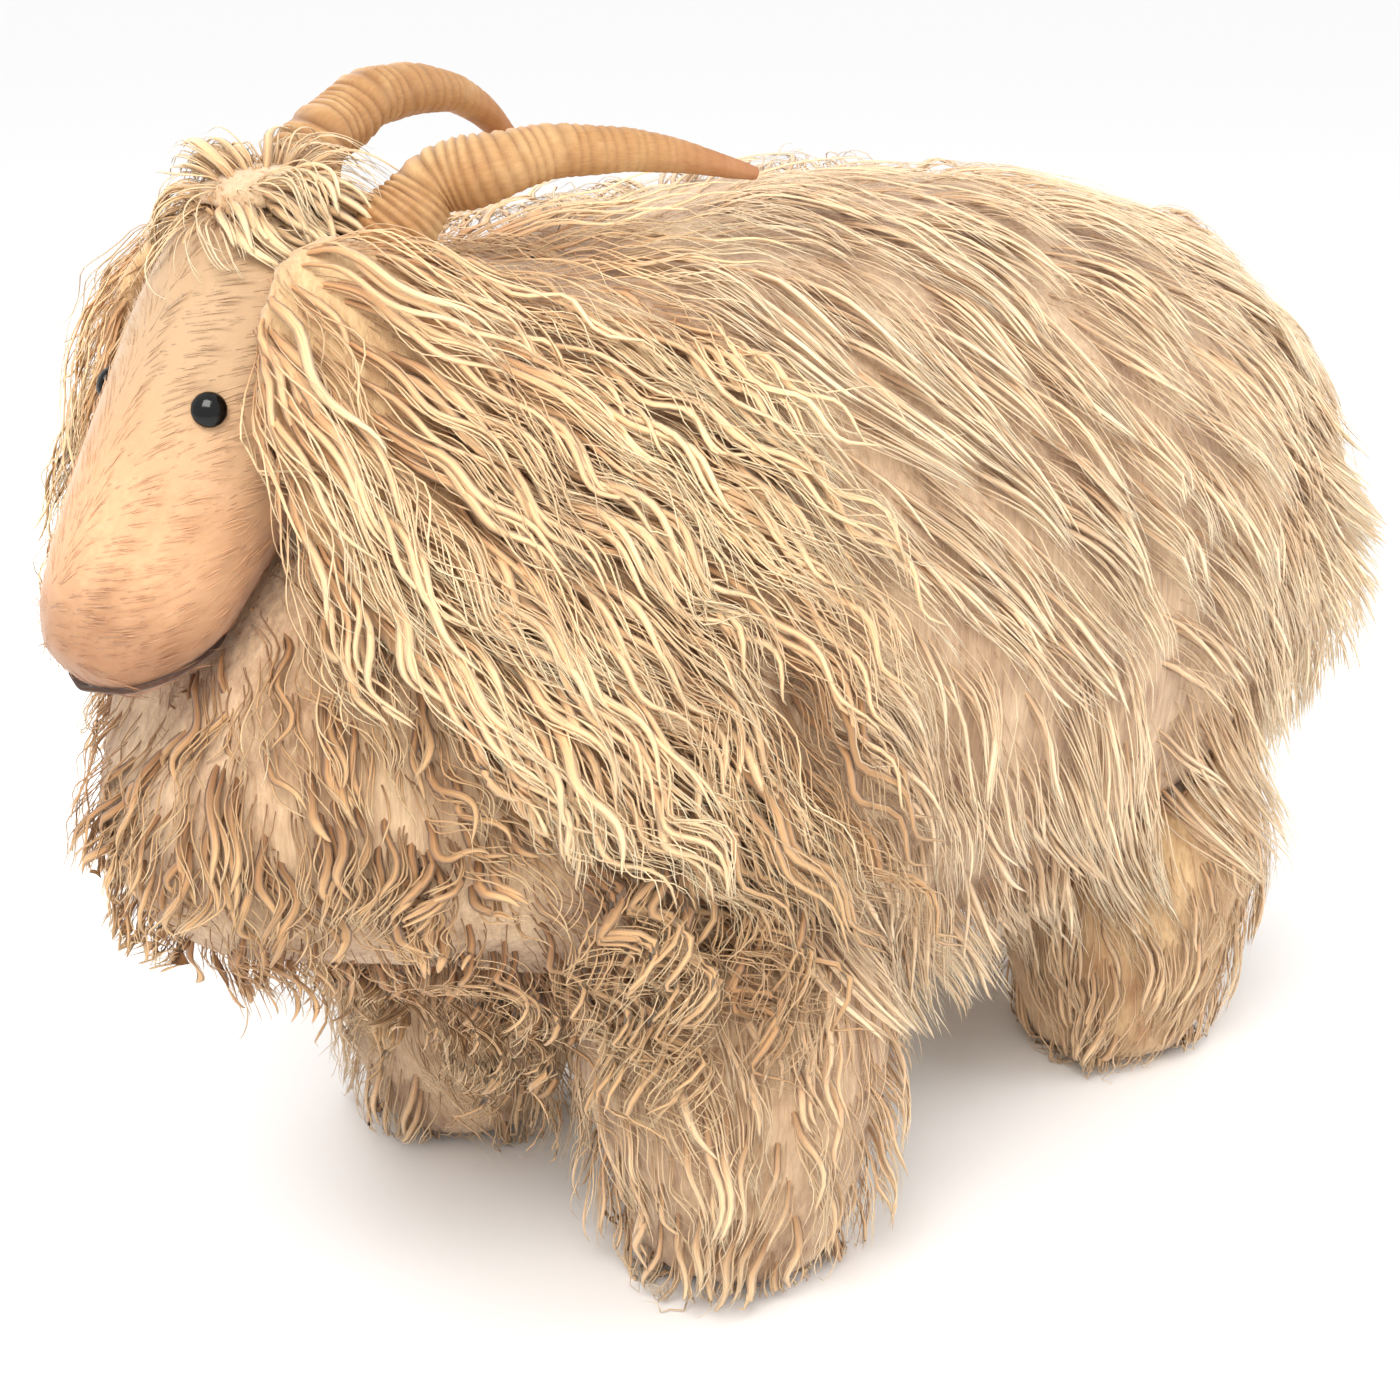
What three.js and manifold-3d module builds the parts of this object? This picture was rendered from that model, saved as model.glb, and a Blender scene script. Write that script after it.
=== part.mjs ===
// A stuffed long-haired goat, about a metre long, that stands on four legs like a footstool.
// A wooden frame carries wadding, a hide face, real horns and a coat sewn from panels of fleece.
// Millimetres, +Z up. The goat faces -X and its left side faces -Y.
import * as THREE from 'three';
import { mergeVertices } from 'three/addons/utils/BufferGeometryUtils.js';
import Module from 'manifold-3d';

const wasm = await Module();
wasm.setup();

// ---------------------------------------------------------------- driving dimensions
const GAP = 0.3; // clearance between pieces that touch
const HANG_GAP = 1.5; // clearance under the ears and the tail, which swing
const FLEECE = 32; // hide and pressed fleece on the body
const LEG_FLEECE = 16; // hide and pressed fleece on the legs
const HIDE = 4; // short-haired face hide
const SKULL_DEPTH = 16; // from the face hide's outside to the wooden head
const FAR = 2000; // half-size of the blocks that cut pieces apart

// Outside of the coat along the body: place on X, underside, top and half width.
const BODY = [
  { x: -470, low: 196, high: 352, half: 108 },
  { x: -340, low: 166, high: 486, half: 166 },
  { x: -200, low: 142, high: 570, half: 200 },
  { x: -50, low: 124, high: 586, half: 212 },
  { x: 100, low: 116, high: 580, half: 216 },
  { x: 230, low: 110, high: 550, half: 204 },
  { x: 360, low: 104, high: 488, half: 174 },
  { x: 489, low: 98, high: 296, half: 132 },
];
const BODY_SQUARENESS = 2.4; // 2 is an ellipse, more is boxier

// Outside of the coat on the neck, shoulders first: centre on X and Z, half width, half height.
const NECK = [
  { x: -120, z: 430, half: 176, tall: 142 },
  { x: -220, z: 452, half: 150, tall: 126 },
  { x: -310, z: 488, half: 116, tall: 102 },
  { x: -366, z: 520, half: 80, tall: 76 },
];

// Outside of the coat on a leg, floor first: height, lean towards the tail, radius.
const LEG = [
  { z: -30, lean: 0, radius: 60 },
  { z: 60, lean: 4, radius: 77 },
  { z: 150, lean: 14, radius: 93 },
  { z: 236, lean: 26, radius: 84 },
];
const LEG_PLACES = {
  front_left: { x: -166, y: -118, lean: -0.4 },
  front_right: { x: -166, y: 118, lean: -0.4 },
  rear_left: { x: 196, y: -118, lean: 1 },
  rear_right: { x: 196, y: 118, lean: 1 },
};
const HEM = 3; // height of the hem of each leg sleeve

// Seams of the coat
const SHOULDER_SEAM_X = -205;
const RUMP_SEAM_X = 262;
const THROAT_SEAM_Z = 322;
const BELLY = { half: 70, top: 300 };

// Outside of the head from crown to muzzle end: centre on X and Z, half width, half depth.
const HEAD = [
  { x: -350, z: 610, half: 46, deep: 46 },
  { x: -375, z: 566, half: 55, deep: 54 },
  { x: -406, z: 510, half: 54, deep: 55 },
  { x: -446, z: 448, half: 50, deep: 53 },
  { x: -490, z: 396, half: 46, deep: 48 },
];
const NECK_OPENING = 34; // radius of the hole in the face hide where the neck goes in

// The welt sewn round the lower edge of the muzzle
const WELT = { x: -446, z: 404, tilt: 11, wide: 3, proud: 1, deep: 2.4, back: -404 };

// Centre lines of the two horns, root to tip. They are natural horns and differ a little.
const HORNS = {
  left: [
    [-345, -36, 560], [-320, -38, 594], [-298, -52, 616],
    [-258, -70, 627], [-202, -88, 624], [-143, -104, 609],
  ],
  right: [
    [-346, 34, 566], [-324, 37, 606], [-290, 51, 634],
    [-232, 68, 645], [-168, 86, 634], [-124, 98, 602],
  ],
};
const HORN = { root: 22, tip: 4, taper: 1.7, flat: 0.86 }; // radii, and width over height

// Frame timber
const SPINE = { x0: -206, x1: 336, half: 44, z0: 396, z1: 420 };
const RAIL = { long: 42, tall: 86 };
const POST = 42;
const SIDE_RAIL = { thick: 20, z0: 314, z1: 356 };
const NECK_POST = { radius: 16, from: [-186, 0, 405], to: [-384, 0, 556] };
const PEG = { radius: 6, intoHead: 40, intoHorn: 30 };
const FOOT = { radius: 38, z0: 8, z1: 28 };
const GLIDE = { radius: 17, rim: 2 };

// Eye buttons: a domed head on a shank that is washered behind the hide
const EYE = { at: [-436, 40.5, 526], facing: [-0.56, 0.75, 0.33], radius: 9, dome: 5.5 };
const SHANK = { radius: 2.2, reach: 24 };
const WASHER = { radius: 7.5, thick: 1.6, depth: 7 };

// Ears: leaves that hang from the crown over the side of the neck (left one, root to tip)
const EAR = [
  { at: [-370, -50, 600], wide: 38 },
  { at: [-376, -68, 575], wide: 52 },
  { at: [-370, -84, 530], wide: 66 },
  { at: [-350, -116, 470], wide: 74 },
  { at: [-320, -156, 405], wide: 64 },
  { at: [-298, -178, 350], wide: 42 },
];
const EAR_THICK = 26;
const EAR_FLARE = 0.4; // how far the rear edge turns outward, per unit along X

// Tail: a leaf of fleece that hangs from the end of the spine, root to tip
const TAIL = [
  { at: [352, 0, 520], wide: 22 },
  { at: [396, 0, 506], wide: 32 },
  { at: [440, 0, 468], wide: 36 },
  { at: [474, 0, 414], wide: 32 },
  { at: [495, 0, 356], wide: 22 },
];
const TAIL_THICK = 30;

// The forelock between the horns
const TOPKNOT = { x: -370, z: 606, long: 38, half: 36, tall: 22 };

// ---------------------------------------------------------------- materials
const paint = (color, roughness, metalness = 0) => () => (
  new THREE.MeshStandardMaterial({ color, roughness, metalness }));
const fleece = paint(0xdcbf98, 0.75);
const goldenFleece = paint(0xe3c28c, 0.6);
const faceHide = paint(0xdcaf85, 0.8);
const hornStuff = paint(0xb98a55, 0.5);
const wood = paint(0xc9a36f, 0.7);
const wadding = paint(0xe9e2d2, 0.95);
const cloth = paint(0xb9ad98, 0.95);
const blackGloss = paint(0x0a0a0b, 0.08);
const steel = paint(0x9a9a98, 0.4, 0.9);
const darkLeather = paint(0x6b4630, 0.7);

// ---------------------------------------------------------------- solids and booleans
function solidOf(geometry) {
  const bare = geometry.clone();
  bare.deleteAttribute('normal');
  bare.deleteAttribute('uv');
  const merged = mergeVertices(bare, 1e-3);
  return new wasm.Manifold(new wasm.Mesh({
    numProp: 3,
    vertProperties: new Float32Array(merged.attributes.position.array),
    triVerts: new Uint32Array(merged.index.array),
  }));
}

function geometryOf(solid) {
  const mesh = solid.getMesh();
  const geometry = new THREE.BufferGeometry();
  geometry.setAttribute('position', new THREE.BufferAttribute(mesh.vertProperties, 3));
  geometry.setIndex(new THREE.BufferAttribute(mesh.triVerts, 1));
  geometry.computeVertexNormals();
  return geometry;
}

const join = (...solids) => solids.reduce((all, next) => all.add(next));
const cut = (solid, ...tools) => tools.reduce((left, tool) => left.subtract(tool), solid);
const v = (point) => new THREE.Vector3(...point);

function block([x0, x1], [y0, y1], [z0, z1], grow = 0) {
  const geometry = new THREE.BoxGeometry(x1 - x0 + 2 * grow, y1 - y0 + 2 * grow, z1 - z0 + 2 * grow);
  geometry.translate((x0 + x1) / 2, (y0 + y1) / 2, (z0 + z1) / 2);
  return solidOf(geometry);
}
const ALL = [-FAR, FAR];
const below = (z) => block(ALL, ALL, [-FAR, z]);
const above = (z) => block(ALL, ALL, [z, FAR]);
const ahead = (x) => block([-FAR, x], ALL, ALL);
const behind = (x) => block([x, FAR], ALL, ALL);
const onSide = (sign) => block(ALL, sign < 0 ? [-FAR, -GAP / 2] : [GAP / 2, FAR], ALL);

// A solid of revolution whose own axis is turned from +Y to the given direction.
function turned(profile, at, direction, rounds) {
  const geometry = new THREE.LatheGeometry(profile.map(([r, h]) => new THREE.Vector2(r, h)), rounds);
  geometry.applyQuaternion(new THREE.Quaternion().setFromUnitVectors(v([0, 1, 0]), v(direction).normalize()));
  geometry.translate(...at);
  return solidOf(geometry);
}

function bar(from, to, radius, rounds = 12) {
  const along = v(to).sub(v(from));
  const length = along.length();
  return turned([[0, 0], [radius, 0], [radius, length], [0, length]], from, along.toArray(), rounds);
}

// A closed, round-ended form: a sphere whose rows are carried along a line of stations. A station
// has a centre `at`, a half size `side` along `across`, and a half size `rise` square to it.
// `grow` moves the whole skin outward, or inward when it is negative.
function carriedForm(stations, { across, rounds, rows, blunt = 3, square = 2, grow = 0 }) {
  const centres = new THREE.CatmullRomCurve3(stations.map(({ at }) => v(at)));
  const sizes = new THREE.CatmullRomCurve3(
    stations.map(({ side, rise }, i) => new THREE.Vector3(side, rise, i * FAR)));
  const geometry = new THREE.SphereGeometry(1, rounds, rows);
  const points = geometry.attributes.position;
  const boxed = (value) => Math.sign(value) * Math.abs(value) ** (2 / square);
  for (let i = 0; i < points.count; i++) {
    const along = THREE.MathUtils.clamp(points.getY(i), -1, 1);
    const angle = Math.atan2(points.getZ(i), points.getX(i));
    const t = (1 - along) / 2;
    const fill = Math.max(0, 1 - Math.abs(along) ** blunt) ** (1 / blunt);
    const tangent = centres.getTangent(t);
    const side = v(across).addScaledVector(tangent, -v(across).dot(tangent)).normalize();
    const rise = tangent.clone().cross(side);
    const size = sizes.getPoint(t);
    const point = centres.getPoint(t);
    point.addScaledVector(side, boxed(Math.cos(angle)) * fill * (size.x + grow));
    point.addScaledVector(rise, boxed(Math.sin(angle)) * fill * (size.y + grow));
    point.addScaledVector(tangent, -along * grow);
    points.setXYZ(i, ...point.toArray());
  }
  return solidOf(geometry);
}

// ---------------------------------------------------------------- forms shared by several pieces
const ACROSS_Y = [0, 1, 0];

const bodyForm = (grow) => carriedForm(
  BODY.map(({ x, low, high, half }) => (
    { at: [x, 0, (low + high) / 2], side: half, rise: (high - low) / 2 })),
  { across: ACROSS_Y, rounds: 22, rows: 11, square: BODY_SQUARENESS, grow });

const neckForm = (grow) => carriedForm(
  NECK.map(({ x, z, half, tall }) => ({ at: [x, 0, z], side: half, rise: tall })),
  { across: ACROSS_Y, rounds: 16, rows: 6, grow });

const headForm = (grow) => carriedForm(
  HEAD.map(({ x, z, half, deep }) => ({ at: [x, 0, z], side: half, rise: deep })),
  { across: ACROSS_Y, rounds: 14, rows: 10, blunt: 3.2, grow });

const legForm = ({ x, y, lean }, grow) => carriedForm(
  LEG.map(({ z, lean: back, radius }) => ({ at: [x + back * lean, y, z], side: radius, rise: radius })),
  { across: ACROSS_Y, rounds: 12, rows: 7, grow });

const head = headForm(0);
const roomForHead = headForm(GAP);
const coat = join(bodyForm(0), neckForm(0));
const legPlaces = Object.values(LEG_PLACES);
const filling = join(
  bodyForm(-FLEECE),
  neckForm(-FLEECE),
  ...legPlaces.map((place) => legForm(place, -LEG_FLEECE)));
const roomForFilling = join(
  bodyForm(GAP - FLEECE),
  neckForm(GAP - FLEECE),
  ...legPlaces.map((place) => legForm(place, GAP - LEG_FLEECE)));

// ---------------------------------------------------------------- frame
// Each maker takes `grow`, so the same call also gives the room that the piece needs.
const spineBoard = (grow = 0) => block(
  [SPINE.x0, SPINE.x1], [-SPINE.half, SPINE.half], [SPINE.z0, SPINE.z1], grow);

const crossRail = ({ x, y }, grow = 0) => {
  const half = Math.abs(y) - POST / 2 - GAP;
  return block([x - RAIL.long / 2, x + RAIL.long / 2], [-half, half],
    [SPINE.z0 - GAP - RAIL.tall, SPINE.z0 - GAP], grow);
};

const legPost = ({ x, y }, grow = 0) => block(
  [x - POST / 2, x + POST / 2], [y - POST / 2, y + POST / 2], [FOOT.z1 + GAP, SPINE.z0 - GAP], grow);

const sideRail = (sign, grow = 0) => {
  const y = sign * LEG_PLACES.rear_right.y;
  const inset = POST / 2 + GAP;
  return block([LEG_PLACES.front_left.x + inset, LEG_PLACES.rear_left.x - inset],
    [y - SIDE_RAIL.thick / 2, y + SIDE_RAIL.thick / 2], [SIDE_RAIL.z0, SIDE_RAIL.z1], grow);
};

const footBlock = ({ x, y }, grow = 0) => bar(
  [x, y, FOOT.z0 - grow], [x, y, FOOT.z1 + grow], FOOT.radius + grow, 12);

const footGlide = ({ x, y }) => {
  const top = FOOT.z0 - GAP;
  const rim = [[GLIDE.radius - GLIDE.rim, 0], [GLIDE.radius, GLIDE.rim], [GLIDE.radius, top]];
  return turned([[0, 0], ...rim, [0, top]], [x, y, 0], [0, 0, 1], 16);
};

const neckPost = (grow = 0) => {
  const along = v(NECK_POST.to).sub(v(NECK_POST.from)).setLength(grow);
  const from = v(NECK_POST.from).sub(along);
  const to = v(NECK_POST.to).add(along);
  return bar(from.toArray(), to.toArray(), NECK_POST.radius + grow);
};

const roomForFrame = join(
  spineBoard(GAP),
  crossRail(LEG_PLACES.front_left, GAP),
  crossRail(LEG_PLACES.rear_left, GAP),
  sideRail(-1, GAP),
  sideRail(1, GAP),
  ...legPlaces.map((place) => legPost(place, GAP)),
  neckPost(GAP));

// ---------------------------------------------------------------- horns, eyes, welt
// A horn is a little flattened from side to side and thins towards its tip.
function hornForm(centreLine, grow = 0) {
  const stations = centreLine.map((at, i) => {
    const share = i / (centreLine.length - 1);
    const radius = THREE.MathUtils.lerp(HORN.root, HORN.tip, share ** HORN.taper);
    return { at, side: radius * HORN.flat, rise: radius };
  });
  return carriedForm(stations, { across: ACROSS_Y, rounds: 12, rows: 12, blunt: 7, grow });
}

// The peg runs along the horn's first stretch, from inside the wooden head into the horn.
function pegForm(centreLine, grow = 0) {
  const root = v(centreLine[1]);
  const along = root.clone().sub(v(centreLine[0])).normalize();
  const from = root.clone().addScaledVector(along, -PEG.intoHead - grow);
  const to = root.clone().addScaledVector(along, PEG.intoHorn + grow);
  return bar(from.toArray(), to.toArray(), PEG.radius + grow);
}

const sided = ([x, y, z], sign) => [x, sign * y, z];
const eyeForm = (sign, grow = 0) => {
  const rim = EYE.radius + grow;
  const top = EYE.dome + grow;
  const shank = SHANK.radius + grow;
  const deep = SHANK.reach + grow;
  const profile = [[0, -deep], [shank, -deep], [shank, -grow], [rim, -grow]];
  const dome = [0.25, 0.5, 0.75].map((share) => {
    const angle = share * Math.PI / 2;
    return [rim * Math.cos(angle), top * Math.sin(angle)];
  });
  return turned([...profile, ...dome, [0, top]], sided(EYE.at, sign), sided(EYE.facing, sign), 12);
};
const washerForm = (sign, grow = 0) => {
  const inward = v(sided(EYE.facing, -sign)).setX(-EYE.facing[0]).setZ(-EYE.facing[2]).normalize();
  const near = v(sided(EYE.at, sign)).addScaledVector(inward, WASHER.depth - grow);
  const far = near.clone().addScaledVector(inward, WASHER.thick + 2 * grow);
  return bar(near.toArray(), far.toArray(), WASHER.radius + grow, 12);
};

// The welt is a strip between two skins of the head, where a tilted slab crosses the muzzle.
const weltForm = (grow = 0) => {
  const slab = new THREE.BoxGeometry(FAR, FAR, WELT.wide + 2 * grow);
  slab.rotateY(-THREE.MathUtils.degToRad(WELT.tilt));
  slab.translate(WELT.x, 0, WELT.z);
  const strip = solidOf(slab).intersect(headForm(WELT.proud + grow)).subtract(headForm(-WELT.deep - grow));
  return strip.intersect(ahead(WELT.back + grow));
};

function topknotForm(grow = 0) {
  const lock = new THREE.SphereGeometry(1, 14, 8);
  lock.scale(TOPKNOT.long + grow, TOPKNOT.half + grow, TOPKNOT.tall + grow);
  lock.translate(TOPKNOT.x, 0, TOPKNOT.z);
  return solidOf(lock);
}

const roomForHorns = join(...Object.values(HORNS).map((line) => hornForm(line, GAP)));
const roomForPegs = join(...Object.values(HORNS).map((line) => pegForm(line, GAP)));
const roomForEyes = join(eyeForm(-1, GAP), eyeForm(1, GAP));

// ---------------------------------------------------------------- ears and tail
const leaf = (stations, thick, across, grow = 0) => carriedForm(
  stations.map(({ at, wide }) => ({ at, side: wide, rise: thick / 2 })),
  { across, rounds: 14, rows: 10, blunt: 2.6, grow });

const onEarSide = (sign) => EAR.map(({ at: [x, y, z], wide }) => ({ at: [x, -sign * y, z], wide }));
const hangRoom = join(
  bodyForm(HANG_GAP),
  neckForm(HANG_GAP),
  headForm(HANG_GAP),
  ...Object.values(HORNS).map((line) => hornForm(line, HANG_GAP)));
const earForm = (sign) => cut(
  leaf(onEarSide(sign), EAR_THICK, [1, sign * EAR_FLARE, 0]), hangRoom, topknotForm(HANG_GAP));
const tailForm = () => cut(leaf(TAIL, TAIL_THICK, ACROSS_Y), hangRoom);

// ---------------------------------------------------------------- the object
const goat = new THREE.Group();

function add(name, solid, material) {
  const mesh = new THREE.Mesh(geometryOf(solid), material());
  mesh.name = name;
  goat.add(mesh);
}

const SIDES = { left: -1, right: 1 };

function addFrame() {
  add('spine_board', spineBoard().subtract(neckPost(GAP)), wood);
  add('shoulder_rail', crossRail(LEG_PLACES.front_left).subtract(neckPost(GAP)), wood);
  add('hip_rail', crossRail(LEG_PLACES.rear_left), wood);
  for (const [side, sign] of Object.entries(SIDES)) {
    add(`side_rail_${side}`, sideRail(sign), wood);
  }
  for (const [corner, place] of Object.entries(LEG_PLACES)) {
    add(`leg_post_${corner}`, legPost(place), wood);
    add(`foot_block_${corner}`, footBlock(place), wood);
    add(`foot_glide_${corner}`, footGlide(place), steel);
  }
  add('neck_post', neckPost().subtract(roomForPegs), wood);
}

function addFilling() {
  add('body_wadding', cut(filling, below(FOOT.z1 + GAP), roomForHead, roomForFrame), wadding);
}

function addHead() {
  const skull = headForm(-SKULL_DEPTH);
  const neckMouth = bar([-330, 0, 510], NECK_POST.to, NECK_OPENING, 20);
  add('skull_block', cut(skull, neckPost(GAP), roomForPegs, roomForEyes), wood);
  add('head_padding', cut(headForm(-HIDE - GAP), headForm(GAP - SKULL_DEPTH), neckPost(GAP), roomForPegs,
    roomForEyes, washerForm(-1, GAP), washerForm(1, GAP), neckMouth), wadding);
  add('face_hide', cut(head, headForm(-HIDE), neckMouth, roomForPegs, roomForEyes, weltForm(GAP)), faceHide);
  add('muzzle_welt', weltForm(), darkLeather);
  for (const [side, sign] of Object.entries(SIDES)) {
    add(`eye_${side}`, eyeForm(sign), blackGloss);
    add(`eye_washer_${side}`, washerForm(sign).subtract(eyeForm(sign, GAP)), steel);
    add(`horn_${side}`, cut(hornForm(HORNS[side]), roomForHead, pegForm(HORNS[side], GAP)), hornStuff);
    add(`horn_peg_${side}`, pegForm(HORNS[side]), wood);
  }
  add('topknot', cut(topknotForm(), roomForHead, roomForHorns, neckForm(GAP)), goldenFleece);
}

function addCoat() {
  const shell = cut(coat, roomForFilling, roomForFrame, roomForHead, roomForHorns, weltForm(GAP));
  const bellyRoom = block([SHOULDER_SEAM_X, RUMP_SEAM_X], [-BELLY.half, BELLY.half], [-FAR, BELLY.top], GAP);
  const front = shell.intersect(ahead(SHOULDER_SEAM_X - GAP));
  const middle = shell.intersect(block([SHOULDER_SEAM_X, RUMP_SEAM_X], ALL, ALL));
  const rear = shell.intersect(behind(RUMP_SEAM_X + GAP));
  const belly = block([SHOULDER_SEAM_X, RUMP_SEAM_X], [-BELLY.half, BELLY.half], [-FAR, BELLY.top]);
  add('chest_fleece', front.intersect(below(THROAT_SEAM_Z)), fleece);
  add('belly_cloth', middle.intersect(belly), cloth);
  for (const [side, sign] of Object.entries(SIDES)) {
    const half = onSide(sign);
    add(`neck_fleece_${side}`, front.intersect(above(THROAT_SEAM_Z + GAP)).intersect(half), goldenFleece);
    add(`flank_fleece_${side}`, middle.subtract(bellyRoom).intersect(half), fleece);
    add(`rump_fleece_${side}`, rear.intersect(half), fleece);
    add(`ear_${side}`, earForm(sign), goldenFleece);
  }
  const roomForCoat = join(bodyForm(GAP), neckForm(GAP));
  for (const [corner, place] of Object.entries(LEG_PLACES)) {
    const leg = cut(legForm(place, 0), legForm(place, GAP - LEG_FLEECE), footBlock(place, GAP));
    add(`leg_sleeve_${corner}`, cut(leg, roomForCoat, below(HEM)), fleece);
  }
  add('tail', tailForm(), fleece);
}

addFrame();
addFilling();
addHead();
addCoat();

export default goat;
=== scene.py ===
# %% [markdown]
# # A stuffed long-haired goat
#
# This is a life-size goat that an upholsterer would make: a pine frame inside, wadding round it,
# a short-napped hide over the face, and long wavy fleece over everything else. Two ridged horns,
# two button eyes, two ears that lift and a small tail finish it.
#
# The solid parts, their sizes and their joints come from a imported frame. This script only gives
# them their looks: it builds the horns, the face and nearly twenty-eight thousand locks of hair
# as meshes, and gives every part a material.

# %% Load the frame
import math

import bmesh
import bpy
import numpy as np
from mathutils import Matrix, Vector


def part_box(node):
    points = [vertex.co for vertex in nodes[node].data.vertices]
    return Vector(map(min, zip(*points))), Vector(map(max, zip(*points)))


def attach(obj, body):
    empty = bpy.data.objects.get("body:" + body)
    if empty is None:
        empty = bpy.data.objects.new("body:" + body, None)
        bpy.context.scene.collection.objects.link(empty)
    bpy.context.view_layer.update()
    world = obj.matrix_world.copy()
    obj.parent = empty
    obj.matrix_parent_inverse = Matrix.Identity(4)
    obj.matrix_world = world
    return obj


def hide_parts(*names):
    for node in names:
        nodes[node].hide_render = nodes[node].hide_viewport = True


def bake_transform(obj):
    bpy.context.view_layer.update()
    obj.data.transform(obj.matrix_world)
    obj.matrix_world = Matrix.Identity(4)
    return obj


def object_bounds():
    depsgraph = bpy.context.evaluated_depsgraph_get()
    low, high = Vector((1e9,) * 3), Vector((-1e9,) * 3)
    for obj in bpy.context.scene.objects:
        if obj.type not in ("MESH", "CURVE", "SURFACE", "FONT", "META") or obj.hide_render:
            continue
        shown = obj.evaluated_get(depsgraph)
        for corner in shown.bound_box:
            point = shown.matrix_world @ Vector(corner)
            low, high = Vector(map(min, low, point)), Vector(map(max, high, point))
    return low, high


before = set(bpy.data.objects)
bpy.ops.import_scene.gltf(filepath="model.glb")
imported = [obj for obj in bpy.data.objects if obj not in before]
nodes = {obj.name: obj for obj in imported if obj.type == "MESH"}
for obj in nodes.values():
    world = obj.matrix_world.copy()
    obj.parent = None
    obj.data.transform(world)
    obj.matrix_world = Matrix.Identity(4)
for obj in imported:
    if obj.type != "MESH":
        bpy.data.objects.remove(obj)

cad_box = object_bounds()
scene = bpy.context.scene
print("nodes in the frame:", len(nodes))

# %% [markdown]
# ## Camera and studio
#
# The goat stands side-on and a little turned, with its head to the left. The camera looks down on
# it from about the height of a seated person's eyes. It is described by two angles, a distance
# and the offsets of its aim from the middle of the feet, so it is easy to move.

# %% Place the camera
AZIMUTH = math.radians(-45.85)
ELEVATION = math.radians(19.9)
DISTANCE = 1.6
AIM_SIDE = -0.0528
AIM_RISE = 0.2474
LENS_MM = 62.6

right = Vector((math.cos(AZIMUTH), math.sin(AZIMUTH), 0))
back = Vector((
    math.sin(AZIMUTH) * math.cos(ELEVATION),
    -math.cos(AZIMUTH) * math.cos(ELEVATION),
    math.sin(ELEVATION),
))
rise = back.cross(right)

camera_data = bpy.data.cameras.new("camera")
camera_data.sensor_width = 36
camera_data.lens = LENS_MM
camera = bpy.data.objects.new("camera", camera_data)
camera.location = right * AIM_SIDE + rise * AIM_RISE + back * DISTANCE
camera.rotation_euler = (-back).to_track_quat("-Z", "Y").to_euler()
scene.collection.objects.link(camera)
scene.camera = camera
print("camera at", [round(v, 3) for v in camera.location])

# %% [markdown]
# The studio is a large pale floor, an even white sky, a big soft lamp above the goat's head and
# two weaker ones. Large lamps give soft shadows between the locks. The standard view transform
# keeps the pale colours of the fleece as they are mixed.


# %% Light the studio
def soft_lamp(name, place, size, power, colour=(1, 1, 1)):
    """A square lamp that looks at the middle of the goat."""
    data = bpy.data.lights.new(name, "AREA")
    data.size = size
    data.energy = power
    data.color = colour
    lamp = bpy.data.objects.new(name, data)
    lamp.location = place
    aim = Vector((0, 0, 0.35)) - lamp.location
    lamp.rotation_euler = aim.to_track_quat("-Z", "Y").to_euler()
    scene.collection.objects.link(lamp)
    return lamp


soft_lamp("key lamp", (-1.6, -1.0, 2.2), 1.2, 44, (1.0, 0.97, 0.93))
soft_lamp("side lamp", (1.5, -2.0, 1.3), 1.4, 20)
soft_lamp("back lamp", (0.6, 2.1, 1.8), 1.4, 20)

world = bpy.data.worlds.new("studio sky")
world.use_nodes = True
world.node_tree.nodes["Background"].inputs["Color"].default_value = (1, 1, 1, 1)
world.node_tree.nodes["Background"].inputs["Strength"].default_value = 1.0
scene.world = world
scene.view_settings.view_transform = "Standard"

# %% [markdown]
# ## Meshes from arrays
#
# Every new surface is worked out with numpy as whole arrays of points, and goes into Blender in
# one step. One helper takes points and faces and makes an object, one reads the points of a mesh
# back, and one numbers the faces of a grid. The studio floor is the first grid made with them.


# %% Put arrays into a mesh
def mesh_object(name, points, faces, smooth=True):
    """An object from an (n, 3) array of points and an array of faces, one row of corners each."""
    corners = np.asarray(faces, np.int32)
    mesh = bpy.data.meshes.new(name)
    mesh.vertices.add(len(points))
    mesh.vertices.foreach_set("co", np.asarray(points, np.float32).ravel())
    mesh.loops.add(corners.size)
    mesh.loops.foreach_set("vertex_index", corners.ravel())
    mesh.polygons.add(len(corners))
    starts = np.arange(len(corners), dtype=np.int32) * corners.shape[1]
    mesh.polygons.foreach_set("loop_start", starts)
    mesh.polygons.foreach_set("use_smooth", np.full(len(corners), smooth))
    mesh.update(calc_edges=True)
    piece = bpy.data.objects.new(name, mesh)
    scene.collection.objects.link(piece)
    return piece


def points_of(mesh):
    """The places of a mesh's vertices as an (n, 3) array."""
    places = np.empty(len(mesh.vertices) * 3, np.float32)
    mesh.vertices.foreach_get("co", places)
    return places.reshape(-1, 3).astype(float)


def grid_faces(rows, columns, closed):
    """Four-sided faces of a grid of rows by columns, joined round where closed says so."""
    row = np.arange(rows - 1)[:, None]
    column = np.arange(columns if closed else columns - 1)[None, :]
    after = (column + 1) % columns
    here = row * columns
    faces = np.stack([
        here + column,
        here + after,
        here + columns + after,
        here + columns + column,
    ], -1)
    return faces.reshape(-1, 4)


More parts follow.
